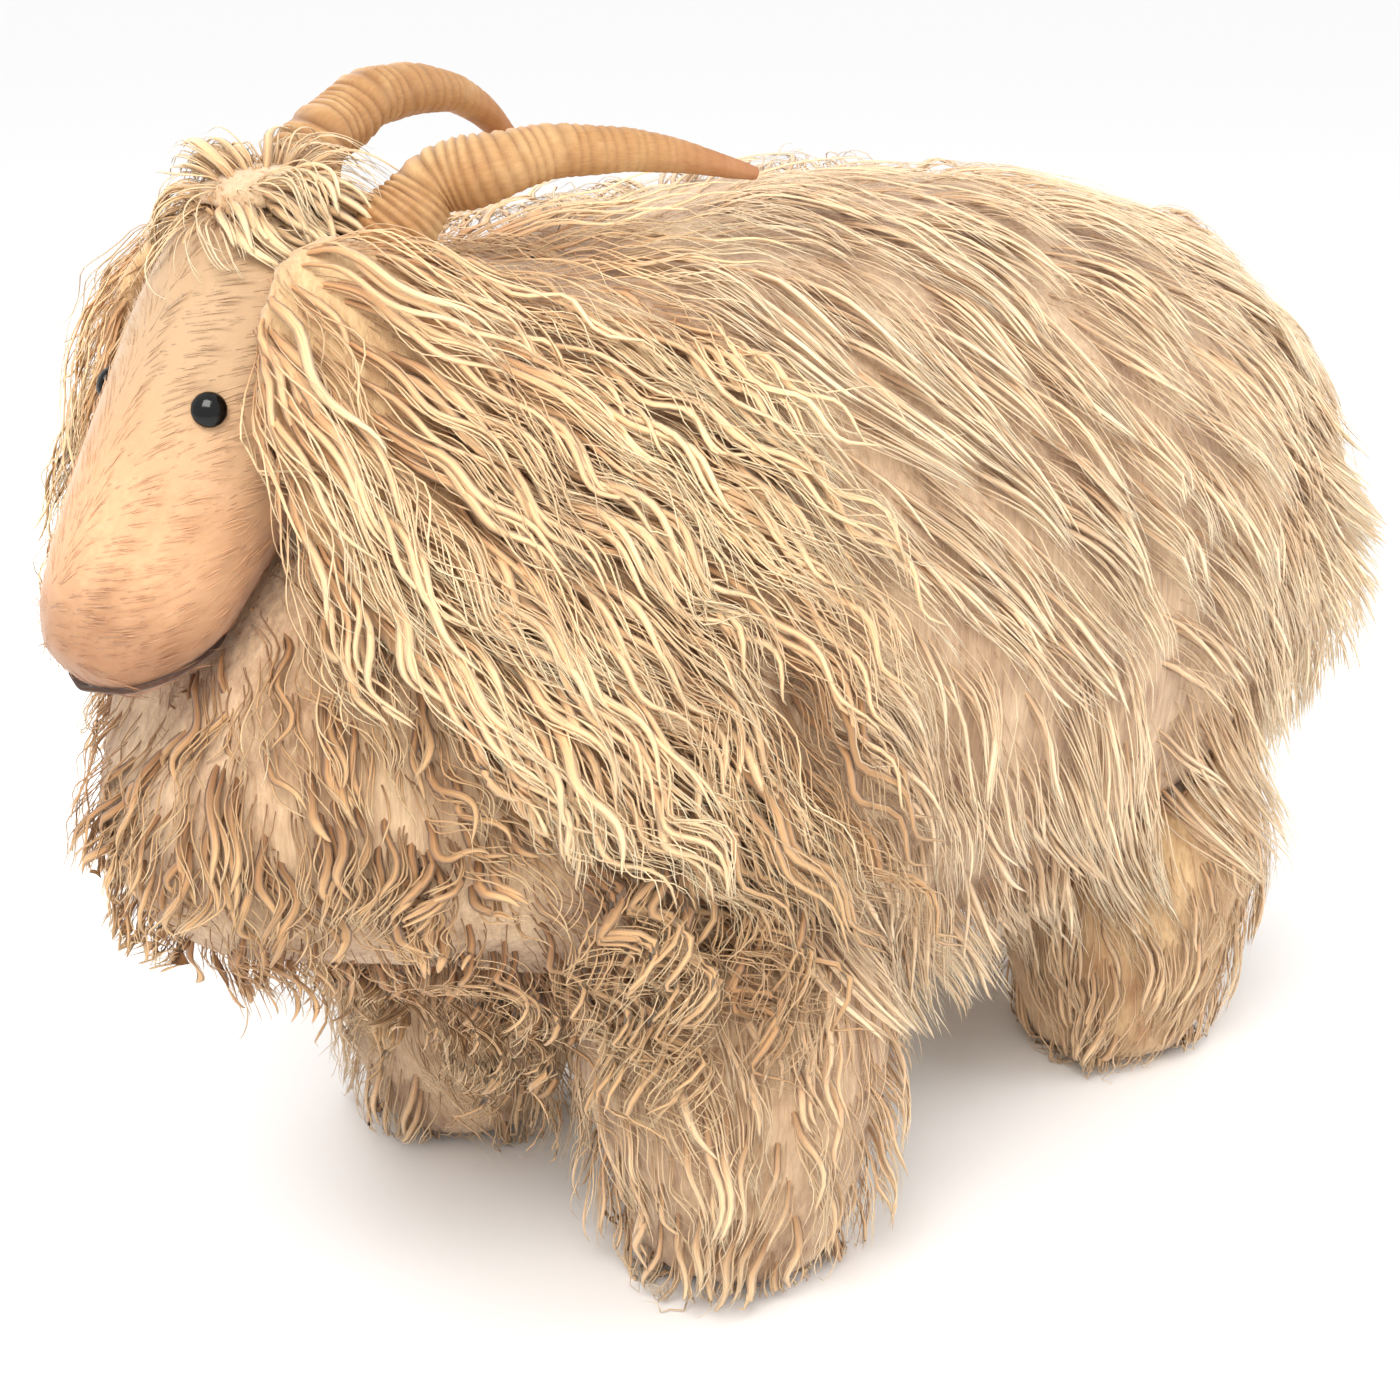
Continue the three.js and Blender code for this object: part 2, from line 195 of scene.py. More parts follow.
FLOOR_SIZE = 30.0
floor_side = np.linspace(-FLOOR_SIZE, FLOOR_SIZE, 9)
floor_x, floor_y = np.meshgrid(floor_side, floor_side, indexing="ij")
floor_points = np.stack([floor_x, floor_y, np.zeros_like(floor_x)], -1).reshape(-1, 3)
floor = mesh_object("studio_floor", floor_points, grid_faces(9, 9, False)[:, ::-1])
print("floor faces:", len(floor.data.polygons))

# %% [markdown]
# ## Materials
#
# A material here is a few texture nodes that feed a Principled shader. Small helpers make
# the wiring short to read: one adds a node and sets or links its inputs, the other turns a colour
# as it looks on a screen into the linear colour that the shader works with. The rest mix two
# colours, do one sum, make a group or a material, and feed a height into the shader's normal.


# %% Wire nodes
def add_node(tree, kind, inputs=None, **settings):
    """A node with its settings, whose inputs take either a value or another node's output."""
    made = tree.nodes.new(kind)
    for key, value in settings.items():
        setattr(made, key, value)
    for key, value in (inputs or {}).items():
        if isinstance(value, bpy.types.NodeSocket):
            tree.links.new(value, made.inputs[key])
        else:
            made.inputs[key].default_value = value
    return made


def screen_colour(red, green, blue):
    """Screen values from 0 to 255 as a linear colour with full cover."""
    value = np.array([red, green, blue]) / 255
    linear = np.where(value <= 0.04045, value / 12.92, ((value + 0.055) / 1.055) ** 2.4)
    return (*[float(v) for v in linear], 1.0)


def blend_colours(tree, amount, first, second, mode="MIX"):
    """The output of a colour mix of two colours or sockets."""
    mix = add_node(tree, "ShaderNodeMix", data_type="RGBA", blend_type=mode)
    for slot, value in ((0, amount), (6, first), (7, second)):
        if isinstance(value, bpy.types.NodeSocket):
            tree.links.new(value, mix.inputs[slot])
        else:
            mix.inputs[slot].default_value = value
    return mix.outputs[2]


def calculate(tree, operation, first, second=0.0):
    """The output of one Math node."""
    return add_node(tree, "ShaderNodeMath", {0: first, 1: second}, operation=operation).outputs[0]


def new_group(name, inputs, outputs):
    """An empty shader node group with named sockets, and its two end nodes."""
    tree = bpy.data.node_groups.new(name, "ShaderNodeTree")
    for label, kind, value in inputs:
        socket = tree.interface.new_socket(name=label, in_out="INPUT", socket_type=kind)
        socket.default_value = value
    for label, kind in outputs:
        tree.interface.new_socket(name=label, in_out="OUTPUT", socket_type=kind)
    return tree, tree.nodes.new("NodeGroupInput"), tree.nodes.new("NodeGroupOutput")


def new_material(name, roughness=0.6, **constants):
    """A material with one Principled shader, whose constant values sit on its own sockets."""
    material = bpy.data.materials.new(name)
    material.use_nodes = True
    tree = material.node_tree
    shader = tree.nodes["Principled BSDF"]
    shader.inputs["Roughness"].default_value = roughness
    for label, value in constants.items():
        shader.inputs[label.replace("_", " ")].default_value = value
    return material, tree, shader


def place_group(tree, group, inputs):
    """A group placed in a material, with its own values."""
    made = add_node(tree, "ShaderNodeGroup", node_tree=group)
    for label, value in inputs.items():
        if isinstance(value, bpy.types.NodeSocket):
            tree.links.new(value, made.inputs[label])
        else:
            made.inputs[label].default_value = value
    return made


def bump(tree, shader, height, strength, distance):
    """Feeds a height into the shader's normal through a Bump node."""
    made = add_node(
        tree, "ShaderNodeBump", {"Strength": strength, "Distance": distance, "Height": height}
    )
    tree.links.new(made.outputs["Normal"], shader.inputs["Normal"])


COLOUR = "NodeSocketColor"
NUMBER = "NodeSocketFloat"
print("white on the screen is", screen_colour(255, 255, 255))

# %% [markdown]
# ### Hair
#
# Each lock of hair is a thin tapered tube, so its material has to show the many hairs in it. The
# strand group makes three things from the lock's own data: a colour that goes from a deeper root
# to a pale tip and differs from lock to lock, fine streaks along the lock, and the height of
# those streaks for the bump. A slow noise over the whole coat adds the warm and the greyish
# patches that a real fleece has. Every fleece material places this group with its own colours.

# %% Build the strand group
strand_group, strand_in, strand_out = new_group(
    "strand",
    [
        ("Root", COLOUR, (0.4, 0.3, 0.2, 1)),
        ("Body", COLOUR, (0.7, 0.5, 0.3, 1)),
        ("Tip", COLOUR, (0.9, 0.8, 0.5, 1)),
        ("Patch", COLOUR, (0.5, 0.3, 0.2, 1)),
        ("Patch amount", NUMBER, 0.3),
        ("Variety", NUMBER, 0.5),
    ],
    [("Color", COLOUR), ("Roughness", NUMBER), ("Height", NUMBER)],
)
tone = add_node(strand_group, "ShaderNodeAttribute", attribute_name="tone").outputs["Fac"]
along = add_node(strand_group, "ShaderNodeAttribute", attribute_name="along").outputs["Fac"]
strand_uv = add_node(strand_group, "ShaderNodeUVMap", uv_map="Strand").outputs["UV"]
coat = add_node(strand_group, "ShaderNodeTexCoord").outputs["Object"]

from_root = add_node(
    strand_group, "ShaderNodeMapRange",
    {"Value": along, "From Min": 0.02, "From Max": 0.4}, interpolation_type="SMOOTHSTEP",
).outputs[0]
to_tip = add_node(
    strand_group, "ShaderNodeMapRange",
    {"Value": along, "From Min": 0.35, "From Max": 1.0}, interpolation_type="SMOOTHSTEP",
).outputs[0]
shade = blend_colours(strand_group, from_root, strand_in.outputs["Root"], strand_in.outputs["Body"])
shade = blend_colours(strand_group, to_tip, shade, strand_in.outputs["Tip"])

slow = add_node(
    strand_group, "ShaderNodeTexNoise", {"Vector": coat, "Scale": 9.0, "Detail": 3.0}
).outputs["Fac"]
patches = add_node(
    strand_group, "ShaderNodeMapRange",
    {"Value": slow, "From Min": 0.46, "From Max": 0.68}, interpolation_type="SMOOTHSTEP",
).outputs[0]
patches = calculate(strand_group, "MULTIPLY", patches, strand_in.outputs["Patch amount"])
shade = blend_colours(strand_group, patches, shade, strand_in.outputs["Patch"])

hair_scale = add_node(
    strand_group, "ShaderNodeMapping", {"Vector": strand_uv, "Scale": (3.4, 0.3, 1.0)}
).outputs["Vector"]
streaks = add_node(
    strand_group, "ShaderNodeTexNoise",
    {"Vector": hair_scale, "Scale": 1.6, "Detail": 4.0, "Roughness": 0.65},
).outputs["Fac"]
lock_tone = calculate(strand_group, "SUBTRACT", tone, 0.5)
lock_tone = calculate(strand_group, "MULTIPLY", lock_tone, strand_in.outputs["Variety"])
streak_tone = calculate(strand_group, "SUBTRACT", streaks, 0.5)
streak_tone = calculate(strand_group, "MULTIPLY", streak_tone, 1.7)
lightness = calculate(strand_group, "ADD", lock_tone, streak_tone)
lightness = calculate(strand_group, "ADD", lightness, 1.22)
bright = add_node(
    strand_group, "ShaderNodeHueSaturation", {"Color": shade, "Value": lightness}
).outputs["Color"]
rough = add_node(
    strand_group, "ShaderNodeMapRange",
    {"Value": streaks, "From Min": 0.3, "From Max": 0.7, "To Min": 0.38, "To Max": 0.62},
).outputs[0]
strand_group.links.new(bright, strand_out.inputs["Color"])
strand_group.links.new(rough, strand_out.inputs["Roughness"])
strand_group.links.new(streaks, strand_out.inputs["Height"])
print("strand group nodes:", len(strand_group.nodes))


# %% Mix the hair colours
def hair(name, root, body, tip, patch, patch_amount=0.35, variety=0.42):
    """A hair material: the strand group with this part of the coat's own colours."""
    material, tree, shader = new_material(
        name, Sheen_Weight=0.25, Sheen_Roughness=0.4, Specular_IOR_Level=0.45
    )
    strands = place_group(tree, strand_group, {
        "Root": screen_colour(*root),
        "Body": screen_colour(*body),
        "Tip": screen_colour(*tip),
        "Patch": screen_colour(*patch),
        "Patch amount": patch_amount,
        "Variety": variety,
    })
    tree.links.new(strands.outputs["Color"], shader.inputs["Base Color"])
    tree.links.new(strands.outputs["Roughness"], shader.inputs["Roughness"])
    bump(tree, shader, strands.outputs["Height"], 0.9, 0.0012)
    return material


golden_hair = hair(
    "golden hair", (204, 154, 106), (244, 208, 160), (255, 236, 196), (224, 176, 126), 0.35, 0.3
)
curly_hair = hair(
    "curly breast hair", (150, 104, 64), (206, 164, 116), (242, 212, 166), (172, 124, 80), 0.55, 0.36
)
back_hair = hair(
    "combed back hair", (214, 176, 136), (240, 212, 174), (250, 232, 200), (226, 188, 146), 0.55, 0.2
)
leg_hair = hair(
    "leg hair", (176, 134, 94), (224, 190, 148), (244, 220, 182), (206, 164, 122), 0.4, 0.26
)
cream_hair = hair(
    "cream forelock hair", (200, 158, 112), (236, 204, 160), (250, 230, 192), (222, 184, 136), 0.35, 0.24
)
print("hair materials:", [m.name for m in bpy.data.materials if "hair" in m.name])

# %% [markdown]
# ### Under-wool, hide and the rest
#
# Under the locks the skin carries short dense wool, which shows as a soft darker ground. It uses
# a wool group: two noises of different size for the colour, and a fine one stretched downwards
# for the height. The colours differ from piece to piece, and so does the way the fibres run.

# %% Build the wool group
wool_group, wool_in, wool_out = new_group(
    "wool",
    [
        ("Dark", COLOUR, (0.3, 0.2, 0.1, 1)),
        ("Light", COLOUR, (0.8, 0.7, 0.5, 1)),
        ("Fineness", NUMBER, 260.0),
        ("Stretch", "NodeSocketVector", (1.0, 1.0, 0.25)),
        ("Turn", "NodeSocketVector", (0.0, 0.0, 0.0)),
    ],
    [("Color", COLOUR), ("Height", NUMBER)],
)
wool_place = add_node(wool_group, "ShaderNodeTexCoord").outputs["Object"]
turned = add_node(
    wool_group, "ShaderNodeMapping", {"Vector": wool_place, "Rotation": wool_in.outputs["Turn"]}
).outputs["Vector"]
stretched = add_node(
    wool_group, "ShaderNodeVectorMath", {0: turned, 1: wool_in.outputs["Stretch"]},
    operation="MULTIPLY",
).outputs[0]
fibres = add_node(
    wool_group, "ShaderNodeTexNoise",
    {"Vector": stretched, "Scale": wool_in.outputs["Fineness"], "Detail": 5.0, "Roughness": 0.7},
).outputs["Fac"]
clouds = add_node(
    wool_group, "ShaderNodeTexNoise", {"Vector": wool_place, "Scale": 22.0, "Detail": 4.0}
).outputs["Fac"]
wool_mask = calculate(wool_group, "ADD", fibres, clouds)
wool_mask = add_node(
    wool_group, "ShaderNodeMapRange", {"Value": wool_mask, "From Min": 0.72, "From Max": 1.28}
).outputs[0]
wool_colour = blend_colours(wool_group, wool_mask, wool_in.outputs["Dark"], wool_in.outputs["Light"])
wool_group.links.new(wool_colour, wool_out.inputs["Color"])
wool_group.links.new(fibres, wool_out.inputs["Height"])
print("wool group nodes:", len(wool_group.nodes))


# %% Mix the soft materials
def wool(name, dark, light, fineness, stretch=(1, 1, 0.25), turn=(0, 0, 0), depth=0.002):
    """A matt woolly or felted material from the wool group."""
    material, tree, shader = new_material(
        name, roughness=0.85, Sheen_Weight=0.4, Sheen_Roughness=0.5
    )
    pattern = place_group(tree, wool_group, {
        "Dark": screen_colour(*dark),
        "Light": screen_colour(*light),
        "Fineness": fineness,
        "Stretch": stretch,
        "Turn": turn,
    })
    tree.links.new(pattern.outputs["Color"], shader.inputs["Base Color"])
    bump(tree, shader, pattern.outputs["Height"], 0.8, depth)
    return material


under_wool = wool("under wool", (170, 128, 92), (240, 206, 164), 240, (1, 1, 0.09), depth=0.004)
golden_under_wool = wool("golden under wool", (184, 136, 90), (240, 204, 152), 240, (1, 1, 0.09), depth=0.004)
cream_under_wool = wool("cream under wool", (206, 168, 124), (246, 220, 182), 240, (1, 1, 0.2), depth=0.003)
wadding = wool("cotton wadding", (214, 202, 180), (240, 232, 214), 90, (1, 1, 1))
belly_linen = wool("belly linen", (178, 158, 124), (214, 196, 162), 520, (1, 0.15, 1), depth=0.0006)
dark_leather = wool("dark leather", (64, 38, 24), (104, 66, 42), 420, (1, 1, 1), depth=0.0005)
pine = wool("planed pine", (176, 122, 68), (222, 176, 118), 60, (0.08, 1, 1), depth=0.0004)
print("soft materials made")

# %% [markdown]
# The face is a short smooth nap, peach on the cheeks and a greyer, darker tan up the forehead that is
# painted shade over its pale cream hair, with a brown edge that runs round the end and the underside of the
# muzzle.
#
# The face's marks are placed along the line of the head, which runs from the crown down to the
# muzzle. Two masks are plain distances: one along that line, for the end of the muzzle, and one
# across it, for its underside. The box of the face hide gives the ends of the line.

# %% Mix the face hide
face_low, face_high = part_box("face_hide")
crown = Vector((face_high.x - 0.045, 0, face_high.z - 0.012))
muzzle_end = Vector((face_low.x + 0.016, 0, face_low.z + 0.016))
head_line = (muzzle_end - crown).normalized()
head_reach = (muzzle_end - crown).length
head_under = Vector((-head_line.z, 0, head_line.x))
head_lean = math.atan2(-head_line.x, -head_line.z)


def distance_mask(tree, place, origin, direction, start, end):
    """0 before start and 1 past end, in metres from origin along a direction."""
    moved = add_node(
        tree, "ShaderNodeVectorMath", {0: place, 1: tuple(origin)}, operation="SUBTRACT"
    ).outputs[0]
    reach = add_node(
        tree, "ShaderNodeVectorMath", {0: moved, 1: tuple(direction)}, operation="DOT_PRODUCT"
    ).outputs["Value"]
    wobble = add_node(
        tree, "ShaderNodeTexNoise", {"Vector": place, "Scale": 55.0, "Detail": 4.0}
    ).outputs["Fac"]
    wobble = calculate(tree, "MULTIPLY", calculate(tree, "SUBTRACT", wobble, 0.5), 0.03)
    return add_node(
        tree, "ShaderNodeMapRange",
        {"Value": calculate(tree, "ADD", reach, wobble), "From Min": start, "From Max": end},
        interpolation_type="SMOOTHSTEP",
    ).outputs[0]


def face_material(name):
    """Peach nap with a forehead darkened by painted shade and a brown edge to the muzzle, streaked along the
    head.
    """
    material, tree, shader = new_material(
        name, roughness=0.7, Sheen_Weight=0.35, Sheen_Roughness=0.45
    )
    place = add_node(tree, "ShaderNodeTexCoord").outputs["Object"]
    nap = place_group(tree, wool_group, {
        "Dark": screen_colour(210, 158, 114),
        "Light": screen_colour(226, 180, 138),
        "Fineness": 330.0,
        "Stretch": (1.0, 1.0, 0.16),
        "Turn": (0.0, -head_lean - 0.9, 0.0),
    })
    # painted shade: this mask covers the forehead, whose cream hair is darkened to stand for the shade on it
    forehead_painted_shade = distance_mask(tree, place, crown, -head_line, -0.17, -0.07)
    end_of_muzzle = distance_mask(tree, place, crown, head_line, head_reach - 0.060, head_reach - 0.012)
    underside = distance_mask(tree, place, crown, head_under, 0.028, 0.058)
    brown = calculate(tree, "MAXIMUM", end_of_muzzle, underside)
    brown = calculate(tree, "MULTIPLY", brown, 0.66)
    # painted shade: the forehead is blended to a darker, greyer tan in place of the shade that falls there
    colour = blend_colours(tree, forehead_painted_shade, nap.outputs["Color"], screen_colour(196, 162, 124))
    colour = blend_colours(tree, brown, colour, screen_colour(140, 88, 54))
    tree.links.new(colour, shader.inputs["Base Color"])
    bump(tree, shader, nap.outputs["Height"], 0.6, 0.0008)
    return material


face_hide = face_material("face hide")
print("head line from", [round(v, 3) for v in crown], "to", [round(v, 3) for v in muzzle_end])

# %% [markdown]
# Horn is a translucent keratin: warm tan, with darker fibres along it and dark lines in the
# valleys between its growth rings. The rings themselves are in the mesh, so the material reads
# the mesh's own attribute for how deep a point lies between two rings.

# %% Mix horn, glass and metal
def horn_material():
    """Tan keratin with dark ring valleys, long fibres and a redder tip."""
    material, tree, shader = new_material(
        "ridged horn", roughness=0.6, Specular_IOR_Level=0.35
    )
    valley = add_node(tree, "ShaderNodeAttribute", attribute_name="valley").outputs["Fac"]
    reach = add_node(tree, "ShaderNodeAttribute", attribute_name="reach").outputs["Fac"]
    uv = add_node(tree, "ShaderNodeUVMap", uv_map="Horn").outputs["UV"]
    scaled = add_node(tree, "ShaderNodeMapping", {"Vector": uv, "Scale": (26, 3, 1)}).outputs["Vector"]
    fibres = add_node(
        tree, "ShaderNodeTexNoise", {"Vector": scaled, "Scale": 2.5, "Detail": 6.0, "Roughness": 0.7}
    ).outputs["Fac"]
    mottle_place = add_node(tree, "ShaderNodeTexCoord").outputs["Object"]
    mottle = add_node(
        tree, "ShaderNodeTexNoise", {"Vector": mottle_place, "Scale": 34.0, "Detail": 5.0}
    ).outputs["Fac"]
    colour = blend_colours(tree, fibres, screen_colour(156, 106, 62), screen_colour(206, 160, 106))
    mottled = add_node(
        tree, "ShaderNodeMapRange", {"Value": mottle, "From Min": 0.5, "From Max": 0.7, "To Max": 0.4}
    ).outputs[0]
    colour = blend_colours(tree, mottled, colour, screen_colour(238, 204, 150))
    dark = calculate(tree, "MULTIPLY", valley, 0.95)
    colour = blend_colours(tree, dark, colour, screen_colour(112, 68, 34))
    tipward = add_node(
        tree, "ShaderNodeMapRange", {"Value": reach, "From Min": 0.72, "From Max": 1.0, "To Max": 0.7}
    ).outputs[0]
    colour = blend_colours(tree, tipward, colour, screen_colour(158, 88, 52))
    tree.links.new(colour, shader.inputs["Base Color"])
    rough = add_node(
        tree, "ShaderNodeMapRange", {"Value": fibres, "To Min": 0.42, "To Max": 0.68}
    ).outputs[0]
    tree.links.new(rough, shader.inputs["Roughness"])
    bump(tree, shader, fibres, 0.5, 0.0008)
    return material


def speckled(name, colour, roughness, scale, depth, darkest=0.72, **constants):
    """A hard plain finish with fine scuffs in its colour and roughness, and a shallow bump."""
    material, tree, shader = new_material(name, roughness=roughness, **constants)
    place = add_node(tree, "ShaderNodeTexCoord").outputs["Object"]
    scuffs = add_node(
        tree, "ShaderNodeTexNoise", {"Vector": place, "Scale": scale, "Detail": 6.0}
    ).outputs["Fac"]
    base = screen_colour(*colour)
    deeper = tuple(v * darkest for v in base[:3]) + (1.0,)
    tree.links.new(blend_colours(tree, scuffs, base, deeper), shader.inputs["Base Color"])
    rough = add_node(
        tree, "ShaderNodeMapRange",
        {"Value": scuffs, "To Min": roughness * 0.7, "To Max": roughness * 1.3},
    ).outputs[0]
    tree.links.new(rough, shader.inputs["Roughness"])
    bump(tree, shader, scuffs, 0.3, depth)
    return material


ridged_horn = horn_material()
button_black = speckled(
    "black button", (3, 3, 3), 0.12, 40, 0.00002,
    Specular_IOR_Level=0.25, Coat_Weight=0.25, Coat_Roughness=0.03,
)
glide_steel = speckled("glide steel", (176, 176, 172), 0.3, 180, 0.0001, Metallic=1.0)
floor_paint = speckled("floor paint", (252, 252, 252), 0.95, 600, 0.00001, darkest=0.98)
floor.data.materials.append(floor_paint)
print("materials:", len(bpy.data.materials))

# %% [markdown]
# ## Finish the parts that keep their shape
#
# The frame inside, the washers and the glides already have the right shape, so they stay and
# only get a material. Most are hidden, but the foot blocks and glides show from below.


# %% Give the kept parts their materials
def finish_node(name, material):
    """Replaces the materials of a frame part."""
    data = nodes[name].data
    data.materials.clear()
    data.materials.append(material)


KEPT = {
    "board": pine,
    "rail": pine,
    "post": pine,
    "foot_block": pine,
    "skull": pine,
    "peg": pine,
    "glide": glide_steel,
    "wadding": wadding,
    "padding": wadding,
    "washer": dark_leather,
}
kept = 0
for node_name in nodes:
    for word, material in KEPT.items():
        if word in node_name:
            finish_node(node_name, material)
            kept += 1
            break
print("kept parts finished:", kept)

# %% [markdown]
# ## Soft forms under the coat
#
# Each piece of fleece and the face hide is stretched over wadding, so under its hair it is a
# round padded form. The frame holds it as a plain solid. A copy of that solid has its loose
# triangles merged, gets an even skin by a voxel remesh, is smoothed, and is drawn in a little to
# leave room for the hair. The remesh needs walls thicker than its voxels, so the thin face hide
# is remeshed together with the padding behind it.
#
# The fleece of neck, chest, flanks and rump is one coat on the real goat, so one pad stands under
# all seven of its parts and no seam shows between the locks. The ears, the tail, the forelock
# and the legs have a pad each.


# %% Make soft forms
def bake_modifiers(piece):
    """Replaces a piece's mesh by what its modifiers make of it."""
    depsgraph = bpy.context.evaluated_depsgraph_get()
    piece.data = bpy.data.meshes.new_from_object(piece.evaluated_get(depsgraph))
    piece.modifiers.clear()


def merged_copy(name, sources):
    """Copies of frame parts in one mesh, with the corners of neighbouring triangles merged."""
    form = bmesh.new()
    for source in sources:
        form.from_mesh(nodes[source].data)
    bmesh.ops.remove_doubles(form, verts=form.verts, dist=1e-6)
    mesh = bpy.data.meshes.new(name)
    form.to_mesh(mesh)
    form.free()
    piece = bpy.data.objects.new(name, mesh)
    scene.collection.objects.link(piece)
    return piece


def soft_form(name, sources, voxel, inset=0.0, smoothing=5):
    """Merge, remesh to even faces, smooth, then move every point inwards along its normal."""
    piece = merged_copy(name, sources)
    remesh = piece.modifiers.new("even skin", "REMESH")
    remesh.mode = "VOXEL"
    remesh.voxel_size = voxel
    soften = piece.modifiers.new("soften", "SMOOTH")
    soften.factor = 0.5
    soften.iterations = smoothing
    draw_in = piece.modifiers.new("room for hair", "DISPLACE")
    draw_in.strength = -inset
    draw_in.mid_level = 0.0
    bake_modifiers(piece)
    piece.data.polygons.foreach_set("use_smooth", np.ones(len(piece.data.polygons), bool))
    return piece


PAD_ROOM = 0.0015
FLEECE_VOXEL = 0.010
SMALL_VOXEL = 0.006
fleece_bodies = {
    "chest_fleece": "goat",
    "neck_fleece_left": "goat",
    "neck_fleece_right": "goat",
    "flank_fleece_left": "goat",
    "flank_fleece_right": "goat",
    "rump_fleece_left": "goat",
    "rump_fleece_right": "goat",
    "topknot": "goat",
    "leg_sleeve_front_left": "goat",
    "leg_sleeve_front_right": "goat",
    "leg_sleeve_rear_left": "goat",
    "leg_sleeve_rear_right": "goat",
    "ear_left": "left_ear",
    "ear_right": "right_ear",
    "tail": "tail_flap",
}
pad_sources = {"trunk": [name for name in fleece_bodies if "fleece" in name]}
pad_sources.update({name: [name] for name in fleece_bodies if "fleece" not in name})
pads = {}
for pad_name, sources in pad_sources.items():
    voxel = FLEECE_VOXEL if pad_name == "trunk" or "leg" in pad_name else SMALL_VOXEL
    pad = soft_form("pad_" + pad_name, sources, voxel, PAD_ROOM, 2)
    pad.data.materials.clear()
    ground = golden_under_wool if "ear" in pad_name else under_wool
    pad.data.materials.append(cream_under_wool if pad_name == "topknot" else ground)
    pads[pad_name] = pad
print("pads:", {name: len(pad.data.polygons) for name, pad in pads.items()})

# %% [markdown]
# ### Stuffing
#
# The face and the belly are seen without long hair, so they get the fullness of real stuffing
# from a cloth simulation: the skin is a cloth under air pressure, with gravity off, stepped over
# twenty frames. A cap on how far a point may move keeps the stuffed shape near the sewn one.


# %% Stuff the face and the belly
def stuff(piece, cap, pressure=4.0, frames=20):
    """Swells a closed skin by cloth pressure, and limits each point's travel to cap metres."""
    sewn = points_of(piece.data)
    cloth = piece.modifiers.new("stuffing", "CLOTH")
    cloth.settings.quality = 4
    cloth.settings.use_pressure = True
    cloth.settings.uniform_pressure_force = pressure
    cloth.settings.effector_weights.gravity = 0
    cloth.point_cache.frame_start = 1
    cloth.point_cache.frame_end = frames
    for step in range(1, frames + 1):
        scene.frame_set(step)
    depsgraph = bpy.context.evaluated_depsgraph_get()
    stuffed = points_of(piece.evaluated_get(depsgraph).data)
    piece.modifiers.clear()
    scene.frame_set(1)
    travel = stuffed - sewn
    reach = np.linalg.norm(travel, axis=1, keepdims=True)
    travel *= np.minimum(1, cap / np.maximum(reach, 1e-9))
    piece.data.vertices.foreach_set("co", (sewn + travel).astype(np.float32).ravel())
    piece.data.update()
    return float(reach.max())


face = soft_form("face", ["face_hide", "head_padding", "skull_block"], 0.006, 0.0015, 6)
face.data.materials.clear()
face.data.materials.append(face_hide)
belly = soft_form("belly", ["belly_cloth"], 0.012, 0.003, 4)
belly.data.materials.clear()
belly.data.materials.append(belly_linen)
for piece, cap in ((face, 0.0025), (belly, 0.006)):
    swollen = stuff(piece, cap)
    finer = piece.modifiers.new("finer skin", "SUBSURF")
    finer.levels = 1
    finer.render_levels = 1
    bake_modifiers(piece)
    piece.data.polygons.foreach_set("use_smooth", np.ones(len(piece.data.polygons), bool))
    print(piece.name, "faces", len(piece.data.polygons), "largest swell", round(swollen, 4))

# %% [markdown]
# ## Horns
#
# A goat's horn is a curved cone with a growth ring for every few weeks of its life, bold and
# close at the root and fading towards the tip. The horn's line is found from the frame's own
# solid: a first guess runs straight along its length, then every vertex is given to the nearest
# point of the guess, and the averages make the next guess. The solid's thickness along the line
# comes from how far its points lie from it, and the hidden root is kept as thick as what follows.
# The ridged surface is then a profile carried along that line.


# %% Find a horn's line
def smooth_rows(rows, times):
    """Each row becomes the mean of itself and its neighbours, with the ends kept."""
    for _ in range(times):
        middle = (rows[:-2] + 2 * rows[1:-1] + rows[2:]) / 4
        rows = np.concatenate([rows[:1], middle, rows[-1:]])
    return rows


def evenly_spaced(line, count):
    """The same line with points at equal distances along it."""
    steps = np.linalg.norm(np.diff(line, axis=0), axis=1)
    reach = np.concatenate([[0], np.cumsum(steps)])
    wanted = np.linspace(0, reach[-1], count)
    return np.stack([np.interp(wanted, reach, line[:, axis]) for axis in range(3)], 1), reach[-1]


HORN_TIP = 0.0035
HORN_ROOT = 4


def solid_line(node_name, root, count=24, rounds=8):
    """The middle line of a long solid from its root on, and the solid's radius along it."""
    shell = merged_copy("line finder", [node_name])
    points = points_of(shell.data)
    bpy.data.objects.remove(shell)
    far = points[np.argmax(points[:, 0])]
    line = np.linspace(root, far, count)
    for _ in range(rounds):
        gap = np.linalg.norm(points[:, None] - line[None], axis=2)
        weight = np.exp(-((gap - gap.min(1, keepdims=True)) / 0.008) ** 2)
        weight /= weight.sum(1, keepdims=True)
        mean = (weight[:, :, None] * points[:, None]).sum(0) / weight.sum(0)[:, None]
        mean[-1] = far
        line, _ = evenly_spaced(smooth_rows(mean, 1), count)
    gap = np.linalg.norm(points[:, None] - line[None], axis=2)
    nearest = gap.argmin(1)
    radius = np.array([
        np.quantile(gap[nearest == k, k], 0.7) if (nearest == k).any() else np.nan
        for k in range(count)
    ])
    known = ~np.isnan(radius)
    radius = np.interp(np.arange(count), np.arange(count)[known], radius[known])
    thickest = radius[HORN_ROOT:HORN_ROOT + 3].max()
    radius[:HORN_ROOT] = np.maximum(radius[:HORN_ROOT], thickest)
    radius = np.maximum(radius, HORN_TIP)
    return line, smooth_rows(radius[:, None], 2)[:, 0]


